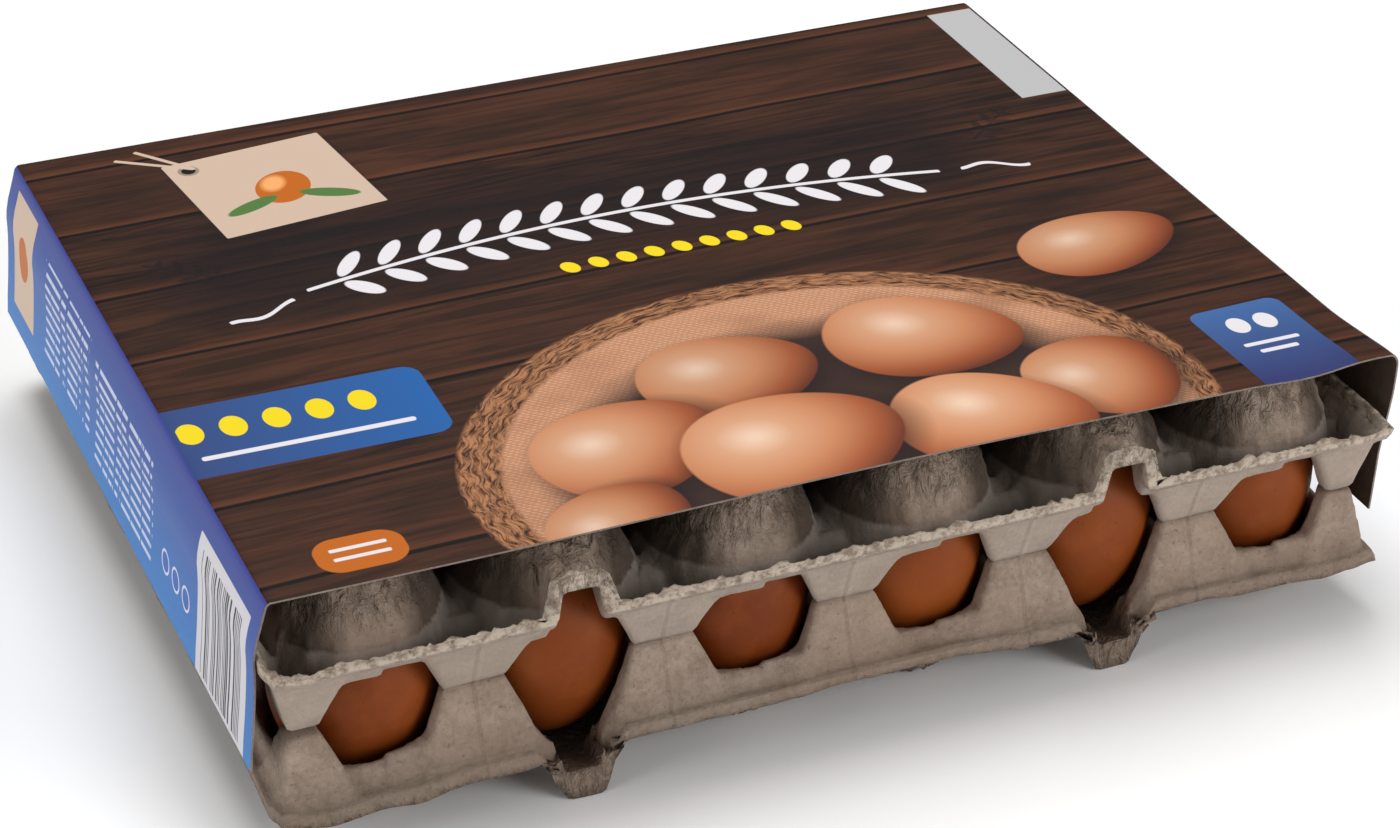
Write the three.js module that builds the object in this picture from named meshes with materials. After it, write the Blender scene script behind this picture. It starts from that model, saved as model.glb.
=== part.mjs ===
// Thirty-egg carton: two moulded pulp trays face to face, thirty eggs between them,
// and a printed card sleeve over the top. Millimetres, +Z up, open front facing -Y.
import * as THREE from 'three';
import { mergeVertices } from 'three/addons/utils/BufferGeometryUtils.js';

// Cell layout
const PITCH = 48;
const COLUMNS = 6;
const ROWS = 5;
const MARGIN = 4.1;
const EDGE = PITCH / 2 + MARGIN;

// Heights of a tray, measured up from the lower edge of its rim
const POST_TOP = 20.85;
const WALL_TOP = 9.8;
const CUP_FLOOR = -10.9;
const RIM_TOP = 4;
const RIM_ROOT = 4.4;
const TRAY_GAP = 0.3;

// Widths of a cell, measured from the middle of the cell
const PULP = 1.7;
const FLOOR_RADIUS = 13;
const WALL_RADIUS = 22.5;
const OUTER_WALL_RADIUS = 21.5;
const POST_TOP_EDGE = 16.4;
const POST_FOOT_EDGE = 11.25;
const POST_RIDGE = 14.5;

// Outer walls, measured in from the edge of the rim
const HALF_POST_SETBACK = 8;
const RIM_WIDTH = 1.9;
const CORNER_SETBACK = 6.9;
const CORNER_POST_EDGE = 14.6;

// Finger notches in the outer wall of the second and fifth cells, front and back
const NOTCH_COLUMNS = [1, 4];
const NOTCH_DROP = 12.5;
const NOTCH_FLOOR = WALL_TOP - NOTCH_DROP;
const NOTCH_HALF = 5.3;
const NOTCH_LIP = 4.2;
const NOTCH_SHOULDER = 6.9;
const NOTCH_MOUTH = 11.8;
const SHOULDER_TOP = 1.6;
const SHOULDER_INNER = -0.9;

// Eggs, pointed end down
const EGG_LENGTH = 57.2;
const EGG_WIDTH = 44.2;
const EGG_SHIFT = 2.1;
const EGG_BOTTOM = -9.6;
const EGG_SIDES = 10;
const EGG_RINGS = 6;
const EGG_LENGTH_SPREAD = 0.6;
const EGG_WIDTH_SPREAD = 0.25;

// Card sleeve, pushed a little to the right so that its left panel bows round the rim
const CARD = 0.5;
const SLEEVE_WIDTH = 297.6;
const SLEEVE_SHIFT = 3.3;
const SLEEVE_TOP = 55.8;
const SLEEVE_CROWN = 0.6;
const SLEEVE_FRONT = 8;
const SLEEVE_DEPTH = 239;
const PANEL_HEIGHT = 45.1;
const LEFT_FOLD = 1.2;
const RIGHT_FOLD = 2.5;
const LEFT_BOW = 3.6;
const LEFT_FLARE = 6;
const BOW_TOP = 13.2;
const BOW_FOOT = 18.2;
const RIGHT_LEAN = 1.2;

const PULP_GREY = new THREE.MeshStandardMaterial({ color: 0x9a8c80, roughness: 0.95, metalness: 0 });
const EGG_BROWN = new THREE.MeshStandardMaterial({ color: 0xb5683c, roughness: 0.5, metalness: 0 });
const CARD_BROWN = new THREE.MeshStandardMaterial({ color: 0x3a2620, roughness: 0.45, metalness: 0 });

// A surface of polygons seen from above, later given a thickness.
class Sheet {
  constructor() {
    this.points = [];
    this.index = new Map();
    this.triangles = [];
    this.rimPoints = new Set();
  }

  point([x, y, z]) {
    const key = `${Math.round(x * 1000)},${Math.round(y * 1000)}`;
    if (!this.index.has(key)) {
      this.index.set(key, this.points.length);
      this.points.push(new THREE.Vector3(x, y, z));
    }
    return this.index.get(key);
  }

  // Adds a fan of triangles, turned so that each one faces up.
  face(corners) {
    const ids = corners.map((corner) => this.point(corner));
    for (let i = 1; i + 1 < ids.length; i++) {
      const [a, b, c] = [ids[0], ids[i], ids[i + 1]];
      const up = this.normal(a, b, c).z > 0;
      this.triangles.push(up ? [a, b, c] : [a, c, b]);
    }
  }

  normal(a, b, c) {
    const [p, q, r] = [this.points[a], this.points[b], this.points[c]];
    return q.clone().sub(p).cross(r.clone().sub(p)).normalize();
  }

  // The point below vertex id that lies one thickness behind every face that meets there.
  below(id, faceNormals, thickness) {
    const columns = [new THREE.Vector3(), new THREE.Vector3(), new THREE.Vector3()];
    const sum = new THREE.Vector3();
    for (const n of faceNormals) {
      columns[0].addScaledVector(n, n.x);
      columns[1].addScaledVector(n, n.y);
      columns[2].addScaledVector(n, n.z);
      sum.addScaledVector(n, -thickness);
    }
    const softness = 0.05 * faceNormals.length;
    const matrix = new THREE.Matrix3().set(
      columns[0].x + softness, columns[1].x, columns[2].x,
      columns[0].y, columns[1].y + softness, columns[2].y,
      columns[0].z, columns[1].z, columns[2].z + softness,
    );
    const shift = sum.applyMatrix3(matrix.invert());
    const sideways = Math.hypot(shift.x, shift.y);
    const sidewaysLimit = 0.75 * thickness;
    if (sideways > sidewaysLimit) {
      shift.x *= sidewaysLimit / sideways;
      shift.y *= sidewaysLimit / sideways;
    }
    shift.z = Math.min(shift.z, -thickness);
    return this.points[id].clone().add(shift);
  }

  // Closes the sheet into a shell: its top, its underside and a strip round its border.
  thicken(thickness, rimDrop) {
    const normalsAt = this.points.map(() => []);
    const edges = new Map();
    for (const [a, b, c] of this.triangles) {
      const n = this.normal(a, b, c);
      for (const id of [a, b, c]) normalsAt[id].push(n);
      for (const [from, to] of [[a, b], [b, c], [c, a]]) edges.set(`${from},${to}`, [from, to]);
    }
    const lower = this.points.map((p, id) => {
      if (!this.rimPoints.has(id)) return this.below(id, normalsAt[id], thickness);
      return p.clone().setZ(p.z - rimDrop);
    });
    const count = this.points.length;
    const faces = [];
    for (const [a, b, c] of this.triangles) {
      faces.push(a, b, c);
      faces.push(count + a, count + c, count + b);
    }
    for (const [from, to] of edges.values()) {
      if (edges.has(`${to},${from}`)) continue;
      faces.push(from, count + from, to);
      faces.push(to, count + from, count + to);
    }
    const geometry = new THREE.BufferGeometry();
    const flat = [...this.points, ...lower].flatMap((p) => [p.x, p.y, p.z]);
    geometry.setAttribute('position', new THREE.Float32BufferAttribute(flat, 3));
    geometry.setIndex(faces);
    geometry.computeVertexNormals();
    return geometry;
  }
}

// Distance of the outer wall's face from the cell's middle at a given height.
function outerFace(z) {
  const top = EDGE - HALF_POST_SETBACK;
  const foot = EDGE - RIM_WIDTH;
  return foot + (top - foot) * (z - RIM_ROOT) / (POST_TOP - RIM_ROOT);
}

// Radius of the cup's sloping wall at a given height.
function cupRadius(z) {
  return FLOOR_RADIUS + (WALL_RADIUS - FLOOR_RADIUS) * (z - CUP_FLOOR) / (WALL_TOP - CUP_FLOOR);
}

// Places a point given along a side (u) and out from the middle (v) into the tray.
function placer(centre, side, mirrored) {
  const angle = side * Math.PI / 2;
  return (u, v, z) => {
    const along = mirrored ? -u : u;
    const x = v * Math.cos(angle) - along * Math.sin(angle);
    const y = v * Math.sin(angle) + along * Math.cos(angle);
    return [centre.x + x, centre.y + y, z];
  };
}

// Top of the post in the corner of a cell, seen from the side that runs along u.
function postTop(sheet, at, sideOuter, cornerOuter) {
  const half = PITCH / 2;
  const front = EDGE - HALF_POST_SETBACK;
  const corner = EDGE - CORNER_SETBACK;
  const inner = at(POST_TOP_EDGE, POST_TOP_EDGE, POST_TOP);
  if (sideOuter && cornerOuter) {
    sheet.face([inner, at(CORNER_POST_EDGE, corner, POST_TOP), at(corner, corner, POST_TOP)]);
  } else if (sideOuter) {
    const ridge = at(half, POST_RIDGE, POST_TOP);
    sheet.face([inner, at(POST_TOP_EDGE, front, POST_TOP), at(half, front, POST_TOP), ridge]);
  } else if (!cornerOuter) {
    sheet.face([inner, at(POST_RIDGE, half, POST_TOP), at(half, half, POST_TOP)]);
  }
}

// Half of one side of a cell that borders another cell: saddle and flank of the post.
function innerSide(sheet, at, cornerOuter) {
  const half = PITCH / 2;
  const foot = POST_FOOT_EDGE;
  const wallFoot = Math.sqrt(WALL_RADIUS ** 2 - foot ** 2);
  const wallMiddle = at(0, WALL_RADIUS, WALL_TOP);
  const wallSide = at(foot, wallFoot, WALL_TOP);
  const saddleSide = at(foot, half, WALL_TOP);
  const inner = at(POST_TOP_EDGE, POST_TOP_EDGE, POST_TOP);
  const ridge = at(POST_RIDGE, half, POST_TOP);
  sheet.face([wallMiddle, wallSide, saddleSide, at(0, half, WALL_TOP)]);
  sheet.face([wallSide, inner, ridge, saddleSide]);
  postTop(sheet, at, false, cornerOuter);
  return [wallMiddle, wallSide, inner];
}

// Half of one outer side of a cell: low wall, half post, outer face and rim.
function outerSide(sheet, at, cornerOuter, notched) {
  const foot = POST_FOOT_EDGE;
  const postFront = cornerOuter ? EDGE - CORNER_SETBACK : EDGE - HALF_POST_SETBACK;
  const postEdge = cornerOuter ? CORNER_POST_EDGE : POST_TOP_EDGE;
  const postEnd = cornerOuter ? postFront : PITCH / 2;
  const rootLine = EDGE - RIM_WIDTH;
  const rootEnd = cornerOuter ? rootLine : PITCH / 2;
  const rimEnd = cornerOuter ? EDGE : PITCH / 2;
  const sideRadius = Math.sqrt(WALL_RADIUS ** 2 - foot ** 2);
  const wallSide = at(foot, sideRadius, WALL_TOP);
  const frontSide = at(foot, outerFace(WALL_TOP), WALL_TOP);
  const inner = at(POST_TOP_EDGE, POST_TOP_EDGE, POST_TOP);
  const postCorner = at(postEdge, postFront, POST_TOP);
  const rootSide = at(foot, rootLine, RIM_ROOT);
  const rimSide = at(notched ? NOTCH_MOUTH : foot, EDGE, RIM_TOP);
  const rootFar = at(rootEnd, rootLine, RIM_ROOT);
  const rimFar = at(rimEnd, EDGE, RIM_TOP);
  sheet.face([wallSide, inner, postCorner, frontSide]);
  sheet.face([rootSide, frontSide, postCorner, at(postEnd, postFront, POST_TOP), rootFar]);
  sheet.face([rootSide, rootFar, rimFar, rimSide]);
  postTop(sheet, at, true, cornerOuter);
  const rim = [rimSide, rimFar];
  const ring = [];
  if (notched) {
    ring.push(...notchSide(sheet, at, wallSide, frontSide, rootSide, rimSide, rim));
  } else {
    const wallMiddle = at(0, OUTER_WALL_RADIUS, WALL_TOP);
    const frontMiddle = at(0, outerFace(WALL_TOP), WALL_TOP);
    const rootMiddle = at(0, rootLine, RIM_ROOT);
    const rimMiddle = at(0, EDGE, RIM_TOP);
    sheet.face([wallMiddle, wallSide, frontSide, frontMiddle]);
    sheet.face([frontMiddle, frontSide, rootSide, rootMiddle]);
    sheet.face([rootMiddle, rootSide, rimSide, rimMiddle]);
    rim.push(rimMiddle);
    ring.push(wallMiddle);
  }
  for (const corner of rim) sheet.rimPoints.add(sheet.point(corner));
  ring.push(wallSide, inner);
  return ring;
}

// Half of a finger notch: the outer wall and its rim drop to form a short spout.
function notchSide(sheet, at, wallSide, frontSide, rootSide, rimSide, rim) {
  const rootLine = EDGE - RIM_WIDTH;
  const radius = cupRadius(NOTCH_FLOOR);
  const shoulderRadius = cupRadius(SHOULDER_INNER);
  const floorMiddle = at(0, radius, NOTCH_FLOOR);
  const floorSide = at(NOTCH_HALF, Math.sqrt(radius ** 2 - NOTCH_HALF ** 2), NOTCH_FLOOR);
  const shoulderV = Math.sqrt(shoulderRadius ** 2 - NOTCH_SHOULDER ** 2);
  const shoulderInner = at(NOTCH_SHOULDER, shoulderV, SHOULDER_INNER);
  const shoulder = at(NOTCH_SHOULDER, rootLine, SHOULDER_TOP);
  const lipMiddle = at(0, rootLine - 1, NOTCH_FLOOR);
  const lipSide = at(NOTCH_HALF, rootLine - 1, NOTCH_FLOOR);
  const rimMiddle = at(0, EDGE, RIM_TOP - NOTCH_DROP);
  const rimFloor = at(NOTCH_LIP, EDGE, RIM_TOP - NOTCH_DROP);
  sheet.face([wallSide, frontSide, shoulder, shoulderInner]);
  sheet.face([frontSide, rootSide, shoulder]);
  sheet.face([rootSide, rimSide, shoulder]);
  sheet.face([shoulder, rimSide, rimFloor, lipSide]);
  sheet.face([shoulderInner, shoulder, lipSide, floorSide]);
  sheet.face([floorSide, lipSide, lipMiddle, floorMiddle]);
  sheet.face([lipMiddle, lipSide, rimFloor, rimMiddle]);
  rim.push(rimFloor, rimMiddle);
  return [floorMiddle, floorSide, shoulderInner];
}

// Joins an outer ring of points to an inner one, both in order of angle.
function joinRings(sheet, centre, outer, inner) {
  const angleOf = ([x, y]) => (Math.atan2(y - centre.y, x - centre.x) + 4 * Math.PI) % (2 * Math.PI);
  const sorted = (ring) => ring.map((corner) => ({ corner, angle: angleOf(corner) }))
    .sort((p, q) => p.angle - q.angle);
  const wrap = (ring) => [...ring, { corner: ring[0].corner, angle: ring[0].angle + 2 * Math.PI }];
  const a = wrap(sorted(outer));
  const b = wrap(sorted(inner));
  let i = 0;
  let j = 0;
  while (i + 1 < a.length || j + 1 < b.length) {
    const outerNext = i + 1 < a.length ? (a[i].angle + a[i + 1].angle) / 2 : Infinity;
    const innerNext = j + 1 < b.length ? (b[j].angle + b[j + 1].angle) / 2 : Infinity;
    if (outerNext <= innerNext) {
      sheet.face([a[i].corner, a[i + 1].corner, b[j].corner]);
      i += 1;
    } else {
      sheet.face([a[i].corner, b[j + 1].corner, b[j].corner]);
      j += 1;
    }
  }
}

// One cell: a cup for one egg with its share of the walls and posts round it.
function cell(sheet, column, row) {
  const centre = {
    x: (column - (COLUMNS - 1) / 2) * PITCH,
    y: (row - (ROWS - 1) / 2) * PITCH,
  };
  const outer = [column === COLUMNS - 1, row === ROWS - 1, column === 0, row === 0];
  const ring = [];
  for (let side = 0; side < 4; side++) {
    for (const mirrored of [false, true]) {
      const at = placer(centre, side, mirrored);
      const cornerOuter = outer[(side + (mirrored ? 3 : 1)) % 4];
      const notched = side % 2 === 1 && NOTCH_COLUMNS.includes(column);
      const points = outer[side]
        ? outerSide(sheet, at, cornerOuter, notched)
        : innerSide(sheet, at, cornerOuter);
      ring.push(...points);
    }
  }
  const known = new Set();
  const unique = ring.filter((corner) => {
    const id = sheet.point(corner);
    const isNew = !known.has(id);
    known.add(id);
    return isNew;
  });
  const floor = [];
  for (let k = 0; k < 8; k++) {
    const angle = k * Math.PI / 4;
    floor.push([
      centre.x + FLOOR_RADIUS * Math.cos(angle),
      centre.y + FLOOR_RADIUS * Math.sin(angle),
      CUP_FLOOR,
    ]);
  }
  sheet.face(floor);
  joinRings(sheet, centre, unique, floor);
}

function trayGeometry() {
  const sheet = new Sheet();
  for (let column = 0; column < COLUMNS; column++) {
    for (let row = 0; row < ROWS; row++) cell(sheet, column, row);
  }
  return sheet.thicken(PULP, RIM_TOP);
}

// Half profile of an egg, from the pointed end at the bottom to the blunt end.
function eggGeometry(length, width) {
  const profile = [];
  for (let i = 0; i <= EGG_RINGS; i++) {
    const turn = Math.PI * i / EGG_RINGS;
    const x = (length / 2) * Math.cos(turn);
    const over = Math.max(0, length ** 2 - 4 * x ** 2);
    const under = length ** 2 + 8 * EGG_SHIFT * x + 4 * EGG_SHIFT ** 2;
    const atEnd = i === 0 || i === EGG_RINGS;
    const radius = atEnd ? 0 : (width / 2) * Math.sqrt(over / under);
    profile.push(new THREE.Vector2(radius, -x));
  }
  const lathe = new THREE.LatheGeometry(profile, EGG_SIDES);
  lathe.deleteAttribute('normal');
  lathe.deleteAttribute('uv');
  lathe.rotateX(Math.PI / 2);
  const closed = mergeVertices(lathe, 1e-4);
  return withoutThinTriangles(closed);
}

// Drops the triangles that collapse to a line where the profile meets the axis.
function withoutThinTriangles(geometry) {
  const kept = [];
  const index = geometry.getIndex().array;
  for (let i = 0; i < index.length; i += 3) {
    const [a, b, c] = [index[i], index[i + 1], index[i + 2]];
    if (a !== b && b !== c && c !== a) kept.push(a, b, c);
  }
  geometry.setIndex(kept);
  geometry.computeVertexNormals();
  return geometry;
}

// Middle line of the card in the X-Z plane, from the foot of the left panel round to the right.
function sleeveLine() {
  const left = SLEEVE_SHIFT - (SLEEVE_WIDTH - CARD) / 2;
  const right = SLEEVE_SHIFT + (SLEEVE_WIDTH - CARD) / 2;
  const top = SLEEVE_TOP - CARD / 2;
  const bottom = SLEEVE_TOP - PANEL_HEIGHT;
  const steps = 8;
  const turns = 3;
  const line = [
    new THREE.Vector2(left - LEFT_FLARE, bottom),
    new THREE.Vector2(left - LEFT_BOW, SLEEVE_TOP - BOW_FOOT),
    new THREE.Vector2(left - LEFT_BOW, SLEEVE_TOP - BOW_TOP),
    new THREE.Vector2(left, top - LEFT_FOLD),
  ];
  for (let i = 0; i <= steps; i++) {
    const across = 2 * i / steps - 1;
    const x = left + LEFT_FOLD + (right - RIGHT_FOLD - left - LEFT_FOLD) * i / steps;
    line.push(new THREE.Vector2(x, top + SLEEVE_CROWN * (1 - across ** 2)));
  }
  for (let i = 1; i <= turns; i++) {
    const turn = (Math.PI / 2) * i / turns;
    const x = right - RIGHT_FOLD + RIGHT_FOLD * Math.sin(turn);
    line.push(new THREE.Vector2(x, top - RIGHT_FOLD + RIGHT_FOLD * Math.cos(turn)));
  }
  line.push(new THREE.Vector2(right - RIGHT_LEAN, bottom));
  return line;
}

function sleeveGeometry() {
  const line = sleeveLine();
  const shifted = (side) => line.map((p, i) => {
    const before = line[Math.max(i - 1, 0)];
    const after = line[Math.min(i + 1, line.length - 1)];
    const along = after.clone().sub(before).normalize();
    return new THREE.Vector2(p.x - along.y * side, p.y + along.x * side);
  });
  const outline = [...shifted(CARD / 2), ...shifted(-CARD / 2).reverse()];
  const sleeve = new THREE.ExtrudeGeometry(new THREE.Shape(outline), {
    depth: SLEEVE_DEPTH,
    bevelEnabled: false,
  });
  sleeve.rotateX(Math.PI / 2);
  return sleeve;
}

function named(name, geometry, material) {
  const mesh = new THREE.Mesh(geometry, material);
  mesh.name = name;
  return mesh;
}

// A fixed, even spread of values between -1 and 1, so that no two eggs are quite alike.
function spread(number) {
  const golden = 0.618034;
  return 2 * ((number * golden) % 1) - 1;
}

function eggs() {
  const group = new THREE.Group();
  for (let row = 0; row < ROWS; row++) {
    for (let column = 0; column < COLUMNS; column++) {
      const number = row * COLUMNS + column;
      const length = EGG_LENGTH + EGG_LENGTH_SPREAD * spread(number + 1);
      const width = EGG_WIDTH + EGG_WIDTH_SPREAD * spread(3 * number + 2);
      const egg = named(`egg_${row + 1}_${column + 1}`, eggGeometry(length, width), EGG_BROWN);
      const x = (column - (COLUMNS - 1) / 2) * PITCH;
      const y = (row - (ROWS - 1) / 2) * PITCH;
      egg.position.set(x, y, EGG_BOTTOM + length / 2);
      group.add(egg);
    }
  }
  return group;
}

function carton() {
  const group = new THREE.Group();
  const lower = named('lower_tray', trayGeometry(), PULP_GREY);
  group.add(lower);

  // The lid is the same tray turned over, its posts standing on those of the lower one.
  const upper = named('upper_tray', trayGeometry(), PULP_GREY);
  upper.rotation.x = Math.PI;
  upper.position.z = 2 * POST_TOP + TRAY_GAP;
  group.add(upper);

  const sleeve = named('sleeve', sleeveGeometry(), CARD_BROWN);
  const trayFront = -(ROWS * PITCH / 2 + MARGIN);
  sleeve.position.y = trayFront + SLEEVE_FRONT + SLEEVE_DEPTH;
  group.add(sleeve);
  group.add(eggs());
  return group;
}

// The origin is under the middle of the whole pack, where it stands.
const pack = carton();
const box = new THREE.Box3().setFromObject(pack);
const middle = box.getCenter(new THREE.Vector3());
pack.position.set(-middle.x, -middle.y, -box.min.z);

const object = new THREE.Group();
object.name = 'egg_carton';
object.add(pack);
object.updateMatrixWorld(true);

export default object;
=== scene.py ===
# %% [markdown]
# A carton for thirty eggs: two trays of moulded paper pulp face to face, the eggs between
# them, and a printed card sleeve over the top with its front and back left open.
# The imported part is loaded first. It fixes every size, and each piece below is modelled
# round it, so nothing has to be fitted afterwards.

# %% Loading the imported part
import math
import bmesh
import bpy
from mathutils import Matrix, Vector


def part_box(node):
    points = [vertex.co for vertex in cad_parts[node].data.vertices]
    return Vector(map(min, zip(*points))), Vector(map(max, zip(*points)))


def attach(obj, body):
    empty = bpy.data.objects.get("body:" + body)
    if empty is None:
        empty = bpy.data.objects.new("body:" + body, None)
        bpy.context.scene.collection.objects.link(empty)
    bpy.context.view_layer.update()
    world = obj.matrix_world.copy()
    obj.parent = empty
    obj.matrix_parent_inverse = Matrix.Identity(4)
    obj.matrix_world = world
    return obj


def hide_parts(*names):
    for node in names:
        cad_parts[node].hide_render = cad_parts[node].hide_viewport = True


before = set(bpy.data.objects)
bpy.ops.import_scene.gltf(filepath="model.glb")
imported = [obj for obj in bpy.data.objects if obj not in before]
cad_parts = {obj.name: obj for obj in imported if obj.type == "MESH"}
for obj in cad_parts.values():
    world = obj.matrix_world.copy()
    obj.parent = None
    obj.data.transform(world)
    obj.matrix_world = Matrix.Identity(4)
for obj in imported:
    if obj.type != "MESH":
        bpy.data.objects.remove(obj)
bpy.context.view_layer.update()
MM = 0.001

# %% [markdown]
# The photograph looks down on the open front from the left, through a long lens. The
# camera is placed from the lower tray: the height of its rim, its middle and its front.
# RIM_FOOT, the height of the rim's lower bend, is where the sheet's own heights start.

# %% Camera at the photograph's angle
tray_low, tray_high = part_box("lower_tray")
MIDDLE_X = (tray_low.x + tray_high.x) / 2
MIDDLE_Y = (tray_low.y + tray_high.y) / 2
RIM_FOOT = tray_low.z + 12.6 * MM
bpy.ops.object.camera_add(
    location=(MIDDLE_X - 0.3174, tray_low.y - 0.6443, RIM_FOOT + 0.4988),
    rotation=(math.radians(59.537), math.radians(-0.329), math.radians(-22.919)),
)
camera = bpy.context.object
camera.data.lens = 91.24
camera.data.clip_start = 0.01
bpy.context.scene.camera = camera
print("camera stands", round(camera.location.length, 2), "m from the pack")

# %% [markdown]
# Operators act on whatever is selected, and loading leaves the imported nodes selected. These
# helpers clear the selection, keep one piece selected, and pick parts of a mesh by place.

# %% Helpers for selecting and finishing
def only(piece):
    """Leaves one piece selected and active."""
    bpy.ops.object.select_all(action="DESELECT")
    piece.select_set(True)
    bpy.context.view_layer.objects.active = piece


def new_piece(name):
    """Names the primitive that was just added."""
    piece = bpy.context.object
    piece.name = name
    piece.data.name = name
    return piece


def settle(piece, size=(1, 1, 1), place=(0, 0, 0), turn=(0, 0, 0)):
    """Scales, turns and moves a piece, then puts that into its mesh."""
    only(piece)
    piece.scale = size
    piece.location = place
    piece.rotation_euler = turn
    bpy.ops.object.transform_apply(location=True, rotation=True, scale=True)


def pick(piece, kind, rule):
    """In edit mode, selects the verts, edges or faces whose middle satisfies a rule."""
    mesh = bmesh.from_edit_mesh(piece.data)
    modes = [kind == name for name in ("verts", "edges", "faces")]
    bpy.context.tool_settings.mesh_select_mode = modes
    bpy.ops.mesh.select_all(action="DESELECT")
    for part in getattr(mesh, kind):
        corners = [part] if kind == "verts" else part.verts
        middle = sum((corner.co for corner in corners), Vector()) / len(corners)
        part.select_set(rule(middle, part))
    mesh.select_flush_mode()
    bmesh.update_edit_mesh(piece.data)


def finish_with(piece, kind, **settings):
    """Adds a modifier with these settings and applies it."""
    only(piece)
    modifier = piece.modifiers.new(kind.title(), kind)
    for name, value in settings.items():
        setattr(modifier, name, value)
    bpy.ops.object.modifier_apply(modifier=modifier.name)


def copy_of(piece, name):
    """A copy of a piece, with its own mesh."""
    made = piece.copy()
    made.data = piece.data.copy()
    made.name = name
    made.data.name = name
    bpy.context.collection.objects.link(made)
    return made


bpy.ops.object.select_all(action="DESELECT")
print("selected now:", len(bpy.context.selected_objects))

# %% [markdown]
# Pulp trays are made by sucking wet paper fibre onto a mould. The same is done here: a
# solid mould is built from simple shapes, and a fine flat sheet is then drawn down onto it.
# The mould starts as a plinth with sloping sides and a narrow ledge, which forms the rim.

# %% Mould: plinth and ledge
PITCH = 48 * MM
COLUMNS = 6
ROWS = 5
HALF_WIDTH = COLUMNS * PITCH / 2 + 4.1 * MM
HALF_DEPTH = ROWS * PITCH / 2 + 4.1 * MM
POST_TOP = 20.85 * MM
WALL_TOP = 8.9 * MM
RIM_TOP = 4 * MM
LEDGE = 3.2 * MM
LEDGE_RISE = 0.4 * MM
WALL_LEAN = 1 * MM
MOULD_FOOT = -30 * MM

bpy.ops.mesh.primitive_cube_add(size=1)
mould = new_piece("mould")
settle(
    mould,
    (2 * HALF_WIDTH, 2 * HALF_DEPTH, RIM_TOP - MOULD_FOOT),
    (0, 0, (RIM_TOP + MOULD_FOOT) / 2),
)
bpy.ops.object.mode_set(mode="EDIT")
pick(mould, "faces", lambda middle, face: face.normal.z > 0.9)
bpy.ops.mesh.inset(thickness=LEDGE)
bpy.ops.transform.translate(value=(0, 0, LEDGE_RISE))
rise = WALL_TOP - RIM_TOP - LEDGE_RISE
bpy.ops.mesh.extrude_region_move(TRANSFORM_OT_translate={"value": (0, 0, rise)})
narrower = [1 - WALL_LEAN / (half - LEDGE) for half in (HALF_WIDTH, HALF_DEPTH)]
bpy.ops.transform.resize(value=(narrower[0], narrower[1], 1))
bpy.ops.object.mode_set(mode="OBJECT")
print("plinth has", len(mould.data.polygons), "faces")

# %% [markdown]
# Between the cups stand tapering posts, which carry the lid. One square post is modelled,
# repeated by two Array modifiers over the whole tray, and cut off where the outer wall is.
# The four corner posts reach a little further out, so they are cut along their own line.
# The posts are made a little too tall, because their tops are pressed flat on the sheet.
# A bisect merges what lies within its threshold of the cut, so that is kept very small.

# %% Mould: posts
POST_TOP_HALF = 7.8 * MM
POST_SPREAD = 0.457
POST_FOOT = -2 * MM
POST_EXTRA = 3 * MM
HALF_POST_SETBACK = 8 * MM
CORNER_SETBACK = 5.6 * MM
CORNER_INWARD = 1.2 * MM
ROOT_SETBACK = 1.8 * MM
ROOT_HEIGHT = 4.4 * MM
CUT_THRESHOLD = 0.001 * MM
STEPPED = {"use_relative_offset": False, "use_constant_offset": True}


def posts(name, columns, rows, spacing, setback):
    """A block of tapering posts, cut off along the tray's sloping outer wall."""
    top = POST_TOP + POST_EXTRA
    height = top - POST_FOOT
    top_half = POST_TOP_HALF - POST_SPREAD * POST_EXTRA
    foot_half = top_half + POST_SPREAD * height
    bpy.ops.object.select_all(action="DESELECT")
    bpy.ops.mesh.primitive_cone_add(
        vertices=4, depth=height,
        radius1=foot_half * math.sqrt(2), radius2=top_half * math.sqrt(2),
    )
    block = new_piece(name)
    settle(block, turn=(0, 0, math.pi / 4))
    first = (-spacing[0] * (columns - 1) / 2, -spacing[1] * (rows - 1) / 2)
    settle(block, place=(first[0], first[1], (top + POST_FOOT) / 2))
    for count, step in ((columns, (spacing[0], 0, 0)), (rows, (0, spacing[1], 0))):
        finish_with(block, "ARRAY", count=count, constant_offset_displace=step, **STEPPED)
    bpy.ops.object.mode_set(mode="EDIT")
    rise = POST_TOP - ROOT_HEIGHT
    for way in ((1, 0), (-1, 0), (0, 1), (0, -1)):
        face = (HALF_WIDTH if way[0] else HALF_DEPTH) - setback
        bpy.ops.mesh.select_all(action="SELECT")
        bpy.ops.mesh.bisect(
            plane_co=(way[0] * face, way[1] * face, POST_TOP),
            plane_no=(way[0] * rise, way[1] * rise, setback - ROOT_SETBACK),
            use_fill=True, clear_outer=True, threshold=CUT_THRESHOLD,
        )
    bpy.ops.object.mode_set(mode="OBJECT")
    return block


middle_posts = posts("middle_posts", COLUMNS + 1, ROWS + 1, (PITCH, PITCH), HALF_POST_SETBACK)
corner_spacing = (COLUMNS * PITCH - 2 * CORNER_INWARD, ROWS * PITCH - 2 * CORNER_INWARD)
corner_posts = posts("corner_posts", 2, 2, corner_spacing, CORNER_SETBACK)
for block in (middle_posts, corner_posts):
    finish_with(mould, "BOOLEAN", operation="UNION", object=block, solver="MANIFOLD")
    bpy.data.objects.remove(block)
print("mould with posts has", len(mould.data.polygons), "faces")

# %% [markdown]
# In the photograph the low wall under each front opening has a small step at mid-width, with
# its right half a little taller and prouder. These sills are blocks laid on the wall, the
# front row first, then the back row as its half-turn about the middle of the tray.

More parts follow.
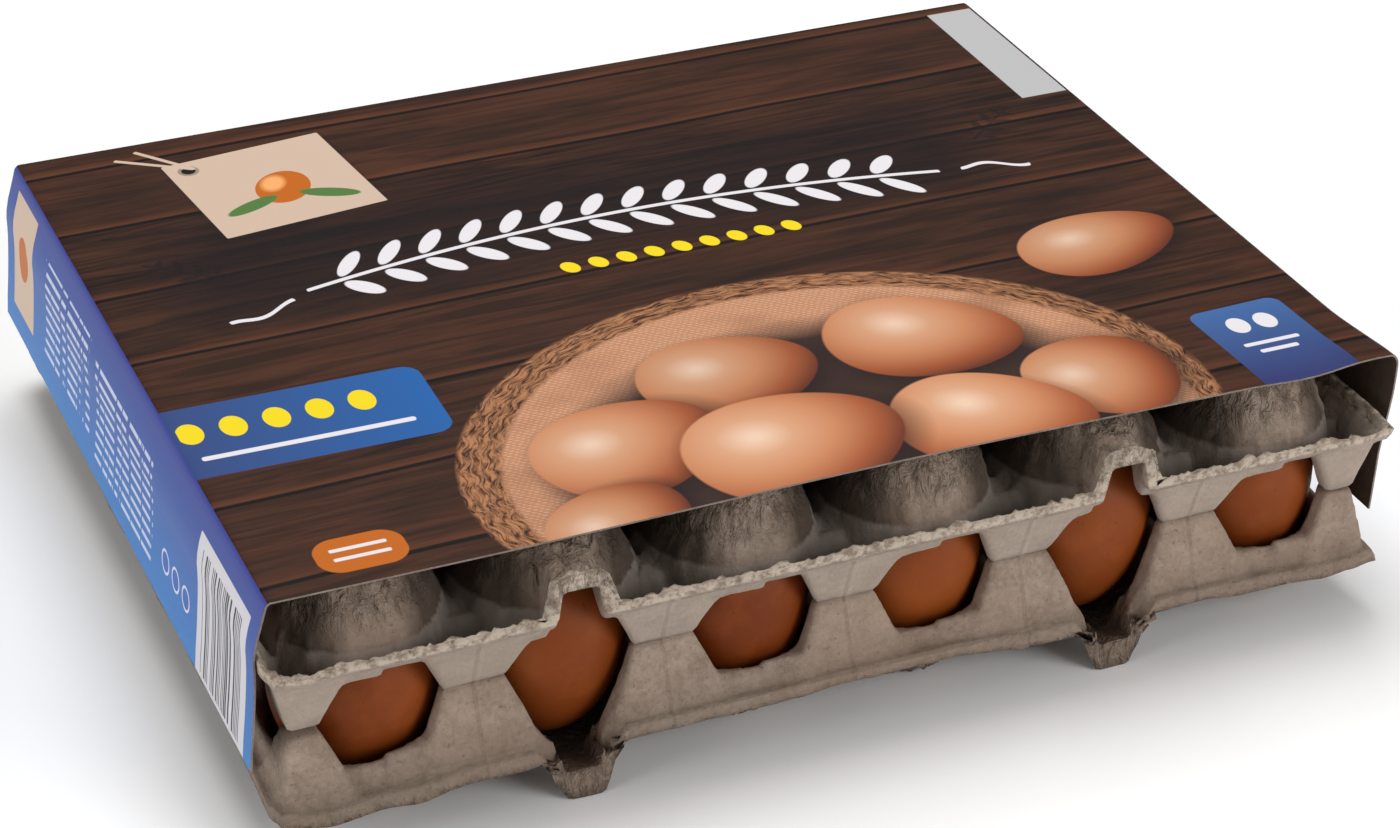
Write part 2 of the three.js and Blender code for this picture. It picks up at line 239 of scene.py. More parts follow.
# %% Mould: stepped sills
SILL_RISE = 1.2 * MM
SILL_PROUD = 0.6 * MM
SILL_LENGTH = 17 * MM
SILL_WIDTH = 5 * MM
SILL_DEPTH = 4 * MM

wall_face = HALF_DEPTH - LEDGE - WALL_LEAN + SILL_PROUD
for way in (-1, 1):
    bpy.ops.object.select_all(action="DESELECT")
    bpy.ops.mesh.primitive_cube_add(size=1)
    sills = new_piece("sills")
    settle(
        sills,
        (SILL_LENGTH, SILL_WIDTH, SILL_DEPTH + SILL_RISE),
        (
            way * (PITCH * (COLUMNS - 1) - SILL_LENGTH) / 2,
            way * (wall_face - SILL_WIDTH / 2),
            WALL_TOP + (SILL_RISE - SILL_DEPTH) / 2,
        ),
    )
    step = (-way * PITCH, 0, 0)
    finish_with(sills, "ARRAY", count=COLUMNS, constant_offset_displace=step, **STEPPED)
    finish_with(mould, "BOOLEAN", operation="UNION", object=sills, solver="MANIFOLD")
    bpy.data.objects.remove(sills)
print("mould with sills has", len(mould.data.polygons), "faces")

# %% [markdown]
# Each cup is a round bowl with a small flat floor. One cup starts as a low cylinder, and its
# top face is extruded and widened ring by ring, through radii and heights given in mm.
# Thirty of them are cut out of the mould.

# %% Mould: cups
CUP_FLOOR = -10.9 * MM
CUP_RINGS = ((12, 0.6), (13.6, 1.4), (15.6, 3.6), (18.4, 9), (20.7, 15), (22.3, 20.7), (23.6, 38))


def widen_top(piece, centre, radii, heights):
    """Extrudes the top face through rings of growing radius."""
    for before, after, low, high in zip(radii, radii[1:], heights, heights[1:]):
        bpy.ops.mesh.extrude_region_move(TRANSFORM_OT_translate={"value": (0, 0, high - low)})
        share = after / before
        bpy.ops.transform.resize(value=(share, share, 1), center_override=centre)


bpy.ops.object.select_all(action="DESELECT")
radii = [ring[0] * MM for ring in CUP_RINGS]
heights = [ring[1] * MM for ring in CUP_RINGS]
bpy.ops.mesh.primitive_cylinder_add(vertices=48, radius=radii[0], depth=heights[0])
cups = new_piece("cups")
first_cup = (-PITCH * (COLUMNS - 1) / 2, -PITCH * (ROWS - 1) / 2)
settle(cups, place=(first_cup[0], first_cup[1], CUP_FLOOR + heights[0] / 2))
bpy.ops.object.mode_set(mode="EDIT")
pick(cups, "faces", lambda middle, face: face.normal.z > 0.9)
widen_top(cups, (first_cup[0], first_cup[1], 0), radii, heights)
bpy.ops.object.mode_set(mode="OBJECT")
for count, step in ((COLUMNS, (PITCH, 0, 0)), (ROWS, (0, PITCH, 0))):
    finish_with(cups, "ARRAY", count=count, constant_offset_displace=step, **STEPPED)
finish_with(mould, "BOOLEAN", operation="DIFFERENCE", object=cups, solver="MANIFOLD")
bpy.data.objects.remove(cups)
print("mould with cups has", len(mould.data.polygons), "faces")

# %% [markdown]
# Four finger notches let the lid be gripped. Each is a channel cut through the rim and the
# low wall, its floor sloping down into the cup behind it, so that the turned-over tray shows
# it as a ridge. The cutter is a cube whose lower corners are moved, then doubled along the
# front and mirrored to the back.

# %% Mould: finger notches
NOTCH_X = 1.5 * PITCH
NOTCH_ROOF = 13 * MM
NOTCH_ROOF_HALF = 7.2 * MM
NOTCH_FLOOR_HALF = 4.8 * MM
NOTCH_FLOOR_OUTER = -5 * MM
NOTCH_FLOOR_INNER = -10.9 * MM
NOTCH_OUTER = -HALF_DEPTH - 1 * MM
NOTCH_INNER = -HALF_DEPTH + 17 * MM

bpy.ops.object.select_all(action="DESELECT")
bpy.ops.mesh.primitive_cube_add(size=1)
notches = new_piece("notches")
settle(
    notches,
    (2 * NOTCH_ROOF_HALF, NOTCH_INNER - NOTCH_OUTER, NOTCH_ROOF - NOTCH_FLOOR_INNER),
    (-NOTCH_X, (NOTCH_INNER + NOTCH_OUTER) / 2, (NOTCH_ROOF + NOTCH_FLOOR_INNER) / 2),
)
bpy.ops.object.mode_set(mode="EDIT")
pick(notches, "verts", lambda place, vert: place.z < 0)
bpy.ops.transform.resize(
    value=(NOTCH_FLOOR_HALF / NOTCH_ROOF_HALF, 1, 1), center_override=(-NOTCH_X, NOTCH_OUTER, 0),
)
pick(notches, "verts", lambda place, vert: place.z < 0 and place.y < NOTCH_OUTER + 1 * MM)
bpy.ops.transform.translate(value=(0, 0, NOTCH_FLOOR_OUTER - NOTCH_FLOOR_INNER))
bpy.ops.object.mode_set(mode="OBJECT")
finish_with(notches, "ARRAY", count=2, constant_offset_displace=(2 * NOTCH_X, 0, 0), **STEPPED)
finish_with(notches, "MIRROR", use_axis=(False, True, False))
only(notches)
bpy.ops.object.mode_set(mode="EDIT")
bpy.ops.mesh.select_all(action="SELECT")
bpy.ops.mesh.normals_make_consistent(inside=False)
bpy.ops.object.mode_set(mode="OBJECT")
finish_with(mould, "BOOLEAN", operation="DIFFERENCE", object=notches, solver="MANIFOLD")
bpy.data.objects.remove(notches)
print("finished mould has", len(mould.data.polygons), "faces")

# %% [markdown]
# Now the sheet is laid over the mould. A grid is drawn straight down by Shrinkwrap, and
# Smooth rounds its creases as wet pulp rounds them. The grid has a whole number of squares
# to a cell, so that every post comes out alike, and it is subdivided near the edges, where
# the outer walls need crisp posts. Last, the tops of the posts are pressed flat.

# %% Sheet of pulp drawn onto the mould
SQUARE = PITCH / 26
SHEET_LIFT = 60 * MM
EDGE_CLEARANCE = 0.05 * MM
FINE_BAND = 20 * MM

bpy.ops.object.select_all(action="DESELECT")
bpy.ops.mesh.primitive_grid_add(
    x_subdivisions=round(2 * HALF_WIDTH / SQUARE),
    y_subdivisions=round(2 * HALF_DEPTH / SQUARE), size=1,
)
sheet = new_piece("pulp_sheet")
settle(
    sheet,
    (2 * (HALF_WIDTH - EDGE_CLEARANCE), 2 * (HALF_DEPTH - EDGE_CLEARANCE), 1),
    (0, 0, SHEET_LIFT),
)
bpy.ops.object.mode_set(mode="EDIT")
pick(sheet, "faces", lambda middle, face: (
    abs(middle.x) > HALF_WIDTH - FINE_BAND or abs(middle.y) > HALF_DEPTH - FINE_BAND
))
bpy.ops.mesh.subdivide(number_cuts=1)
bpy.ops.object.mode_set(mode="OBJECT")
finish_with(
    sheet, "SHRINKWRAP", target=mould, wrap_method="PROJECT", use_project_z=True,
    use_negative_direction=True, use_positive_direction=False,
)
bpy.data.objects.remove(mould)
finish_with(sheet, "SMOOTH", factor=0.5, iterations=1, use_x=False, use_y=False)
finish_with(sheet, "SMOOTH", factor=0.3, iterations=1)
only(sheet)
bpy.ops.object.mode_set(mode="EDIT")
pick(sheet, "verts", lambda place, vert: place.z > POST_TOP)
bpy.ops.transform.resize(value=(1, 1, 0), center_override=(0, 0, POST_TOP))
bpy.ops.object.mode_set(mode="OBJECT")
heights = [vert.co.z / MM for vert in sheet.data.vertices]
print("sheet runs from", round(min(heights), 2), "to", round(max(heights), 2), "mm")

# %% [markdown]
# The rim is turned down all round. Its border is extruded down in two steps, and the last
# ring is kept as a vertex group, because the real edge is deckled where fibres tore. The
# corners of the rim are rounded by pushing each one in with proportional editing, and the
# torn edge round each finger notch is flared sideways into a narrow flange.

# %% Rim turned down, corners rounded
LIP_STEP = 1.9 * MM
CORNER_PUSH = 1.4 * MM
CORNER_REACH = 7 * MM
THROAT_TOP = 1 * MM
THROAT_FLARE = 1.5


def push(piece, rule, by, reach, falloff="SMOOTH"):
    """Moves the vertices that satisfy a rule, and softly what lies within reach of them."""
    only(piece)
    bpy.ops.object.mode_set(mode="EDIT")
    pick(piece, "verts", rule)
    bpy.ops.transform.translate(
        value=by, use_proportional_edit=True, proportional_size=reach,
        proportional_edit_falloff=falloff,
    )
    bpy.ops.object.mode_set(mode="OBJECT")


for side_x in (1, -1):
    for side_y in (1, -1):
        corner = Vector((side_x * HALF_WIDTH, side_y * HALF_DEPTH))
        push(
            sheet, lambda place, vert: (place.xy - corner).length < 1 * MM,
            (-side_x * CORNER_PUSH, -side_y * CORNER_PUSH, 0), CORNER_REACH,
        )
only(sheet)
bpy.ops.object.mode_set(mode="EDIT")
bpy.ops.mesh.select_all(action="SELECT")
bpy.ops.mesh.region_to_loop()
for step in range(2):
    bpy.ops.mesh.extrude_edges_move(TRANSFORM_OT_translate={"value": (0, 0, -LIP_STEP)})
bpy.ops.object.vertex_group_assign_new()
for side_x in (1, -1):
    for side_y in (1, -1):
        throat = Vector((side_x * NOTCH_X, side_y * HALF_DEPTH, NOTCH_FLOOR_OUTER))
        pick(sheet, "verts", lambda place, vert: (
            vert.is_boundary and place.z < THROAT_TOP
            and abs(place.x - throat.x) < NOTCH_ROOF_HALF + 1 * MM
            and abs(place.y - throat.y) < 2 * MM
        ))
        bpy.ops.transform.resize(value=(THROAT_FLARE, 1, 1), center_override=throat)
bpy.ops.object.mode_set(mode="OBJECT")
sheet.vertex_groups[-1].name = "deckle"
print("sheet has", len(sheet.data.polygons), "squares")

# %% [markdown]
# Real pulp is never smooth. Displace modifiers with procedural noise dent and roughen the
# sheet and tear its deckled edge. Solidify gives the wall of pulp, downwards, so that the
# cups keep their inner size, and its outer shell is wrinkled up and down. What would then
# reach below the feet is pressed flat on the table.

# %% Pulp: roughened, torn and thickened
PULP = 1.7 * MM
WRINKLE_STRETCH = 4.5


def noise_texture(name, size, depth):
    """A procedural cloud texture for the Displace modifier."""
    texture = bpy.data.textures.new(name, "CLOUDS")
    texture.noise_scale = size
    texture.noise_depth = depth
    return texture


dents = noise_texture("dents", 22 * MM, 1)
lumps = noise_texture("lumps", 4.5 * MM, 2)
tears = noise_texture("tears", 7 * MM, 4)
wrinkles = noise_texture("wrinkles", 3.6 * MM, 2)
wrinkles.noise_type = "HARD_NOISE"
bpy.ops.object.select_all(action="DESELECT")
bpy.ops.object.empty_add(location=(0, 0, 0))
upright = bpy.context.object
upright.scale = (1, 1, WRINKLE_STRETCH)


def displace(piece, texture, strength, direction="NORMAL", **settings):
    """Moves the surface in and out by a texture."""
    finish_with(
        piece, "DISPLACE", texture=texture, strength=strength, direction=direction, mid_level=0.5,
        **settings,
    )


def mature(piece, tear):
    """Roughens and tears the sheet, gives it the thickness of pulp, and flattens its feet."""
    displace(piece, dents, 0.8 * MM, texture_coords="GLOBAL")
    displace(piece, lumps, 0.3 * MM, texture_coords="GLOBAL")
    displace(piece, tears, tear, "Z", texture_coords="GLOBAL", vertex_group="deckle")
    piece.vertex_groups.new(name="felt")
    finish_with(
        piece, "SOLIDIFY", thickness=PULP, offset=-1, use_even_offset=False,
        shell_vertex_group="felt",
    )
    displace(
        piece, wrinkles, 2.6 * MM, vertex_group="felt", texture_coords="OBJECT",
        texture_coords_object=upright,
    )
    only(piece)
    bpy.ops.object.mode_set(mode="EDIT")
    pick(piece, "verts", lambda place, vert: place.z < tray_low.z)
    bpy.ops.transform.resize(value=(1, 1, 0), center_override=(0, 0, tray_low.z))
    bpy.ops.object.mode_set(mode="OBJECT")
    bpy.ops.object.shade_smooth()
    triangles = sum(len(face.vertices) - 2 for face in piece.data.polygons)
    print(piece.name, "has", triangles, "triangles")


print("textures:", [texture.name for texture in (dents, lumps, tears, wrinkles)])

# %% [markdown]
# The pack has been handled, and its rims sag here and lift there. Each of these helpers picks
# a stretch of the rim, or a corner, and moves it with proportional editing, so that the pulp
# round it follows softly. Stretches are given in mm from the middle of the tray.

# %% Helpers for sags, drooping corners and notches
FRONT_EDGE = tray_low.y + 1.5 * MM
NOTCH_STRETCHES = ((-76, -68), (68, 76))


def sag(piece, reach, pushes):
    """Pushes stretches of the front rim: from x, to x, and how far out and up, all in mm."""
    for start, end, out, up in pushes:
        low_x = MIDDLE_X + start * MM
        high_x = MIDDLE_X + end * MM
        push(
            piece, lambda place, vert: (
                vert.is_boundary and low_x < place.x < high_x and place.y < FRONT_EDGE
            ), (0, -out * MM, up * MM), reach,
        )


def droop(piece, centre, down, reach):
    """Lowers a corner of a tray softly: its place, how far down and how wide, all in mm."""
    here = Vector((MIDDLE_X + centre[0] * MM, MIDDLE_Y + centre[1] * MM))
    push(
        piece, lambda place, vert: (place.xy - here).length < 4 * MM,
        (0, 0, -down * MM), reach * MM,
    )


def reach_out(piece):
    """Draws the front right corner of the rim outwards, where the photograph shows it wider."""
    here = Vector((MIDDLE_X + HALF_WIDTH, tray_low.y))
    push(
        piece, lambda place, vert: (place.xy - here).length < 3 * MM and vert.is_boundary,
        (2.8 * MM, -0.4 * MM, 0), 7 * MM,
    )


print("notches lie at", NOTCH_STRETCHES, "mm")

# %% [markdown]
# Both trays come from the same sheet. Each gets its own copy. The lower one is lowered at its
# front corners, its rim sags between the posts, and the cheeks beside its notches are
# pressed down, so that each notch opens downwards as a spout.

# %% Lower tray
lower_tray = copy_of(sheet, "lower_tray_pulp")
settle(lower_tray, place=(MIDDLE_X, MIDDLE_Y, RIM_FOOT))
reach_out(lower_tray)
droop(lower_tray, (-146, -122), 3, 36)
droop(lower_tray, (146, -122), 1.2, 30)
sag(lower_tray, 12 * MM, (
    (-134, -112, 0, -1.8),
    (-112, -86, 0.3, -1.6),
    (-6, 26, 0.2, 1.3),
    (48, 62, 0, -1.4),
    (110, 132, 0, -1),
))
for notch_side in (-1, 1):
    for side in (-1, 1):
        cheek = MIDDLE_X + notch_side * NOTCH_X + side * 6.6 * MM
        push(lower_tray, lambda place, vert: (
            abs(place.x - cheek) < 1.2 * MM and place.y < tray_low.y + 9 * MM
            and RIM_FOOT + 3 * MM < place.z < RIM_FOOT + WALL_TOP + 1.5 * MM
        ), (-side * 0.6 * MM, 0, -7.5 * MM), 4.4 * MM, "LINEAR")
sag(lower_tray, 4 * MM, [(*stretch, 1.2, -4.2) for stretch in NOTCH_STRETCHES])
mature(lower_tray, 0.9 * MM)

# %% [markdown]
# The lid is the same sheet turned over, post tip to post tip with the lower tray. Its front
# rim hangs a little low, most at the two ends, and lifts over each notch.

# %% Upper tray
LID_HEIGHT = 2 * POST_TOP + 0.3 * MM

upper_tray = copy_of(sheet, "upper_tray_pulp")
settle(upper_tray, place=(MIDDLE_X, MIDDLE_Y, RIM_FOOT + LID_HEIGHT), turn=(math.pi, 0, 0))
reach_out(upper_tray)
sag(upper_tray, 10 * MM, (
    (-150, 150, 0.8, -1.2),
    (-150, -138, 0.4, -0.8),
    (138, 150, 0.4, -0.8),
))
sag(upper_tray, 3 * MM, [(*stretch, 0.6, 1.6) for stretch in NOTCH_STRETCHES])
mature(upper_tray, 1.1 * MM)
for helper in (sheet, upright):
    bpy.data.objects.remove(helper)

# %% [markdown]
# An egg is a sphere stretched along its axis, with its lower half stretched further to make
# the pointed end. It is modelled once and copied thirty times, each copy fitted to the box of
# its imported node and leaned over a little, as eggs are in real cups.

# %% Eggs
BLUNT_LENGTH = 1.2
POINT_STRETCH = 1.158
LEAN = math.radians(2.5)

bpy.ops.object.select_all(action="DESELECT")
bpy.ops.mesh.primitive_uv_sphere_add(segments=48, ring_count=28, radius=1)
model_egg = new_piece("model_egg")
settle(model_egg, (1, 1, BLUNT_LENGTH))
bpy.ops.object.mode_set(mode="EDIT")
pick(model_egg, "verts", lambda place, vert: place.z < -0.01)
bpy.ops.transform.resize(value=(1, 1, POINT_STRETCH), center_override=(0, 0, 0))
bpy.ops.object.mode_set(mode="OBJECT")
bpy.ops.object.shade_smooth()
egg_length = BLUNT_LENGTH * (1 + POINT_STRETCH)
eggs = []
for row in range(ROWS):
    for column in range(COLUMNS):
        node = f"egg_{row + 1}_{column + 1}"
        low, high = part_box(node)
        radius = (high.x - low.x) / 2
        length = (high.z - low.z) / egg_length
        number = row * COLUMNS + column
        egg = copy_of(model_egg, node + "_shell")
        waist = low.z + BLUNT_LENGTH * POINT_STRETCH * length
        settle(
            egg, (radius, radius, length), ((low.x + high.x) / 2, (low.y + high.y) / 2, waist),
            (LEAN * math.sin(2.4 * number), LEAN * math.cos(1.7 * number), 0),
        )
        eggs.append((egg, node))
bpy.data.objects.remove(model_egg)
print("eggs:", len(eggs), "of", len(eggs[0][0].data.polygons), "faces")

# %% [markdown]
# The sleeve is one strip of thin card, folded down at both sides. Its top is a grid, and the
# border at each side is extruded step by step round the fold and down the panel. Each step
# is how far out and how far down it goes, in mm: the left panel bows out round the lid's rim.

# %% Card sleeve
sleeve_low, sleeve_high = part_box("sleeve")
CARD = 0.5 * MM
SLEEVE_WIDTH = 297.6 * MM
CROWN = 0.6 * MM
LEFT_FOLD = 1.2 * MM
RIGHT_FOLD = 2.5 * MM
TOP_Z = sleeve_high.z - CROWN
LEFT_X = sleeve_high.x - SLEEVE_WIDTH
RIGHT_X = sleeve_high.x
LEFT_DROPS = (
    (-0.45, -0.25), (-0.4, -0.4), (-0.35, -0.55), (-0.7, -2.4), (-0.9, -3), (-1, -3.2),
    (-0.7, -3.2), (-0.3, -2.6), (0, -2.6), (-0.1, -3), (-0.3, -4), (-0.4, -4.4), (-0.5, -5),
    (-0.6, -5), (-0.5, -5.5),
)
RIGHT_DROPS = (
    (0.7, -0.1), (0.75, -0.45), (0.55, -0.75), (0.35, -0.85), (0.15, -1.1), (-0.05, -3),
    (-0.1, -5), (-0.15, -5), (-0.2, -6), (-0.2, -6), (-0.2, -6), (-0.3, -6), (-0.3, -4.85),
)

bpy.ops.object.select_all(action="DESELECT")
bpy.ops.mesh.primitive_grid_add(x_subdivisions=74, y_subdivisions=60, size=1)
sleeve = new_piece("card_sleeve")
top_left = LEFT_X + LEFT_FOLD
top_right = RIGHT_X - RIGHT_FOLD
settle(
    sleeve,
    (top_right - top_left, sleeve_high.y - sleeve_low.y, 1),
    ((top_left + top_right) / 2, (sleeve_low.y + sleeve_high.y) / 2, TOP_Z),
)
bpy.ops.object.mode_set(mode="EDIT")
for side, drops in ((top_left, LEFT_DROPS), (top_right, RIGHT_DROPS)):
    pick(sleeve, "edges", lambda middle, edge: abs(middle.x - side) < 0.1 * MM)
    for out, down in drops:
        step = (out * MM, 0, down * MM)
        bpy.ops.mesh.extrude_edges_move(TRANSFORM_OT_translate={"value": step})
bpy.ops.mesh.select_all(action="SELECT")
bpy.ops.mesh.normals_make_consistent(inside=False)
bpy.ops.object.mode_set(mode="OBJECT")
print("sleeve has", len(sleeve.data.polygons), "faces before its thickness")

# %% [markdown]
# Flat card is never quite flat. The top is lifted slightly in the middle, its front edge bows
# up between the sides and ripples near the right-hand end, and the front right fold bulges.
# Solidify gives the card its thickness, with slots of their own for its inside and cut edge.

# %% Bows and ripples in the card
top_middle = Vector(((LEFT_X + RIGHT_X) / 2, (sleeve_low.y + sleeve_high.y) / 2))
front_y = sleeve_low.y


def near(x, y, reach=4):
    """A rule for the vertices of the sleeve's top close to a place."""
    here = Vector((x, y))
    return lambda place, vert: place.z > TOP_Z - 1 * MM and (place.xy - here).length < reach * MM


push(sleeve, near(top_middle.x, top_middle.y, 8), (0, 0, CROWN), 130 * MM)
push(sleeve, near(top_middle.x + 10 * MM, front_y, 6), (0, 0, 1.2 * MM), 110 * MM)
push(sleeve, near(MIDDLE_X + 128 * MM, front_y), (0, 0, -0.7 * MM), 16 * MM)
push(sleeve, near(MIDDLE_X + 142 * MM, front_y), (0, 0, 0.8 * MM), 14 * MM)
bulge = Vector((RIGHT_X - 0.5 * MM, front_y, TOP_Z - 5 * MM))
push(sleeve, lambda place, vert: (place - bulge).length < 5 * MM, (2 * MM, 0, 0), 26 * MM)
for slot in range(3):
    sleeve.data.materials.append(None)
finish_with(
    sleeve, "SOLIDIFY", thickness=CARD, offset=-1, use_even_offset=True,
    material_offset=1, material_offset_rim=2,
)
bpy.ops.object.shade_smooth_by_angle(angle=math.radians(40))
highest = max(corner.co.z for corner in sleeve.data.vertices)
print("sleeve stands", round((highest - sleeve_high.z) / MM, 2), "mm above its packed node")

# %% [markdown]
# The side panels have a print of their own, which starts below each fold. Their outer faces
# are picked by the slot that they have so far and by their height, and get a fourth slot.

# %% Slot for the side panels
PANEL_SLOT = 3
LEFT_PRINT_DROP = 0.4 * MM
RIGHT_PRINT_DROP = 1.8 * MM

sleeve.data.materials.append(None)
only(sleeve)
bpy.ops.object.mode_set(mode="EDIT")
pick(sleeve, "faces", lambda middle, face: (
    face.material_index == 0
    and middle.z < TOP_Z - (LEFT_PRINT_DROP if middle.x < 0 else RIGHT_PRINT_DROP)
))
sleeve.active_material_index = PANEL_SLOT
bpy.ops.object.material_slot_assign()
bpy.ops.object.mode_set(mode="OBJECT")
panel_faces = [face for face in sleeve.data.polygons if face.material_index == PANEL_SLOT]
print("side panels have", len(panel_faces), "outer faces")

# %% [markdown]
# Materials are built from nodes. A value that changes over a surface is kept as a Field, so
# that plain arithmetic with it adds the Math nodes. Every node goes into the tree that its
# inputs come from, so no helper has to be told which material it works on.

# %% Fields and nodes
class Field:
    """A value that changes over a surface. Arithmetic with it adds a Math node."""

    def __init__(self, socket):
        self.socket = socket

    def __add__(self, other):
        return maths("ADD", self, other)

    def __sub__(self, other):
        return maths("SUBTRACT", self, other)

    def __rsub__(self, other):
        return maths("SUBTRACT", other, self)

    def __mul__(self, other):
        return maths("MULTIPLY", self, other)

    def __truediv__(self, other):
        return maths("DIVIDE", self, other)

    def __mod__(self, other):
        return maths("FLOORED_MODULO", self, other)

    def __abs__(self):
        return maths("ABSOLUTE", self)


def fill(socket, value):
    """Gives an input a number or a colour, or joins an output or a field to it."""
    if isinstance(value, Field):
        value = value.socket
    if isinstance(value, bpy.types.NodeSocket):
        socket.id_data.links.new(value, socket)
    else:
        socket.default_value = value


def add(kind, settings=None, **values):
    """Adds a node to the tree its inputs come from. An input is given by name, or as i0, i1."""
    sources = [value.socket if isinstance(value, Field) else value for value in values.values()]
    tree = next(source.id_data for source in sources if isinstance(source, bpy.types.NodeSocket))
    node = tree.nodes.new("ShaderNode" + kind)
    for name, value in (settings or {}).items():
        setattr(node, name, value)
    for name, value in values.items():
        numbered = name[0] == "i" and name[1:].isdigit()
        fill(node.inputs[int(name[1:]) if numbered else name], value)
    return node


def maths(operation, first, second=0.0):
    """One Math node on two values."""
    return Field(add("Math", {"operation": operation}, i0=first, i1=second).outputs[0])


print("fields turn arithmetic into nodes")

# %% [markdown]
# These are the few nodes that every finish below is made of: a colour laid over another
# through a mask, a range mapped to another, noise, a place taken apart and put together,
# and a bump. A group is a piece of node tree with named sockets, built once and used often.

# %% Helpers for nodes, materials and groups
def blend_colours(factor, lower, upper):
    """Lays one colour over another through a mask."""
    return add("Mix", {"data_type": "RGBA"}, i0=factor, i6=lower, i7=upper).outputs[2]


def ramp(value, low, high, start=0.0, end=1.0):
    """Maps a value from one range to another, clamped."""
    return Field(add("MapRange", i0=value, i1=low, i2=high, i3=start, i4=end).outputs[0])


def noise(place, scale, detail=2.0, roughness=0.5, distortion=0.0):
    """Noise of a given scale, in features to a unit of the place."""
    settings = {"Scale": scale, "Detail": detail, "Roughness": roughness, "Distortion": distortion}
    return Field(add("TexNoise", Vector=place, **settings).outputs[0])


def stretched(place, scale):
    """The same place with each axis scaled, to draw a pattern out along one of them."""
    return add("Mapping", Vector=place, Scale=scale).outputs[0]


def split(place):
    """A place as its three numbers."""
    return [Field(part) for part in add("SeparateXYZ", Vector=place).outputs]


def joined(x, y, z=0.0):
    """Three numbers as one place."""
    return add("CombineXYZ", X=x, Y=y, Z=z).outputs[0]


def bump(height, strength, distance, **before):
    """A bumped normal. It may be laid over the Normal of one before it."""
    return add("Bump", Strength=strength, Distance=distance, Height=height, **before).outputs[0]


def srgb(red, green, blue):
    """A colour as read off a screen, 0 to 255, turned to the linear values that shaders use."""
    def linear(value):
        share = value / 255
        return share / 12.92 if share <= 0.04045 else ((share + 0.055) / 1.055) ** 2.4
    return (linear(red), linear(green), linear(blue), 1)


def material(name):
    """A new material: itself, the inputs of its Principled shader and its place on the object."""
    made = bpy.data.materials.new(name)
    made.use_nodes = True
    place = made.node_tree.nodes.new("ShaderNodeTexCoord").outputs["Object"]
    return made, made.node_tree.nodes["Principled BSDF"].inputs, place


def surface(shader, **values):
    """Fills the shader's inputs by name, with a low line for a space."""
    for name, value in values.items():
        fill(shader[name.replace("_", " ")], value)


def group(name, inputs, outputs):
    """A node group. Each socket is (kind, name) or (kind, name, value)."""
    tree = bpy.data.node_groups.new(name, "ShaderNodeTree")
    for way, sockets in (("INPUT", inputs), ("OUTPUT", outputs)):
        for kind, label, *value in sockets:
            kind = "NodeSocket" + kind
            socket = tree.interface.new_socket(name=label, in_out=way, socket_type=kind)
            if value:
                socket.default_value = value[0]
    start = tree.nodes.new("NodeGroupInput")
    end = tree.nodes.new("NodeGroupOutput")
    return tree, {output.name: Field(output) for output in start.outputs}, end.inputs


def use(made, **values):
    """Places a node group beside its inputs, and returns its outputs as fields."""
    return {out.name: Field(out) for out in add("Group", {"node_tree": made}, **values).outputs}


print("helpers for nodes are ready")

# %% [markdown]
# Moulded pulp is waste paper: soft mottling, short fibres and dark specks. They are a group,
# because the plain card inside the sleeve is made of the same fibres, only finer.

# %% Paper fibre, a shared group
fibre, inside, outside = group(
    "paper fibre",
    [("Vector", "Place"), ("Float", "Fineness", 1.0)],
    [("Float", "Mottle"), ("Float", "Specks"), ("Float", "Height")],
)
place = inside["Place"]
fine = inside["Fineness"]
cloudy = noise(place, fine * 140, 4, 0.6)
felt = noise(place, fine * 650, 4, 0.7, 0.4)
lying = noise(stretched(place, (0.25, 1, 1)), fine * 1300, 2, 0.6, 1.2)
standing = noise(stretched(place, (1, 1, 0.22)), fine * 1100, 2, 0.6, 1.2)
dots = noise(place, fine * 900, 1)
fill(outside["Mottle"], cloudy * 0.5 + felt * 0.5)
fill(outside["Specks"], ramp(dots, 0.68, 0.76))
fill(outside["Height"], felt + lying * standing * 1.4)
print("paper fibre group has", len(fibre.nodes), "nodes")

# %% [markdown]
# The pulp is grey-beige with warmer patches. Its place on the pack is measured from the
# middle of the trays, so that the rough pale rim of the lid can be drawn where it is.

# %% Pulp: colour and rim
HALF_LID = LID_HEIGHT / 2

pulp, shader, place = material("moulded_pulp")
paper = use(fibre, Place=place, Fineness=1.0)
across, along, up = split(place)
from_side = abs(across - MIDDLE_X)
from_front = abs(along - MIDDLE_Y)
from_joint = abs(up - (RIM_FOOT + HALF_LID))

base = blend_colours(ramp(paper["Mottle"], 0.35, 0.65), srgb(132, 115, 101), srgb(172, 154, 139))
base = blend_colours(ramp(noise(place, 28), 0.4, 0.7, 0, 0.4), base, srgb(150, 128, 110))
at_edge = maths(
    "MAXIMUM",
    ramp(from_side, HALF_WIDTH - 3 * MM, HALF_WIDTH - 1.5 * MM),
    ramp(from_front, HALF_DEPTH - 3 * MM, HALF_DEPTH - 1.5 * MM),
)
rim = at_edge * ramp(from_joint, HALF_LID - 4.6 * MM, HALF_LID - 3.8 * MM)
pits = noise(place, 420, 3, 0.7)
rough_rim = blend_colours(ramp(pits, 0.38, 0.56), srgb(136, 121, 106), srgb(194, 180, 163))
lid_rim = rim * ramp(up, RIM_FOOT + 20 * MM, RIM_FOOT + 22 * MM, 0.15, 0.85)
base = blend_colours(lid_rim, base, rough_rim)
base = blend_colours(paper["Specks"] * 0.5, base, srgb(92, 78, 66))
print("pulp has", len(pulp.node_tree.nodes), "nodes for its colour and rim")
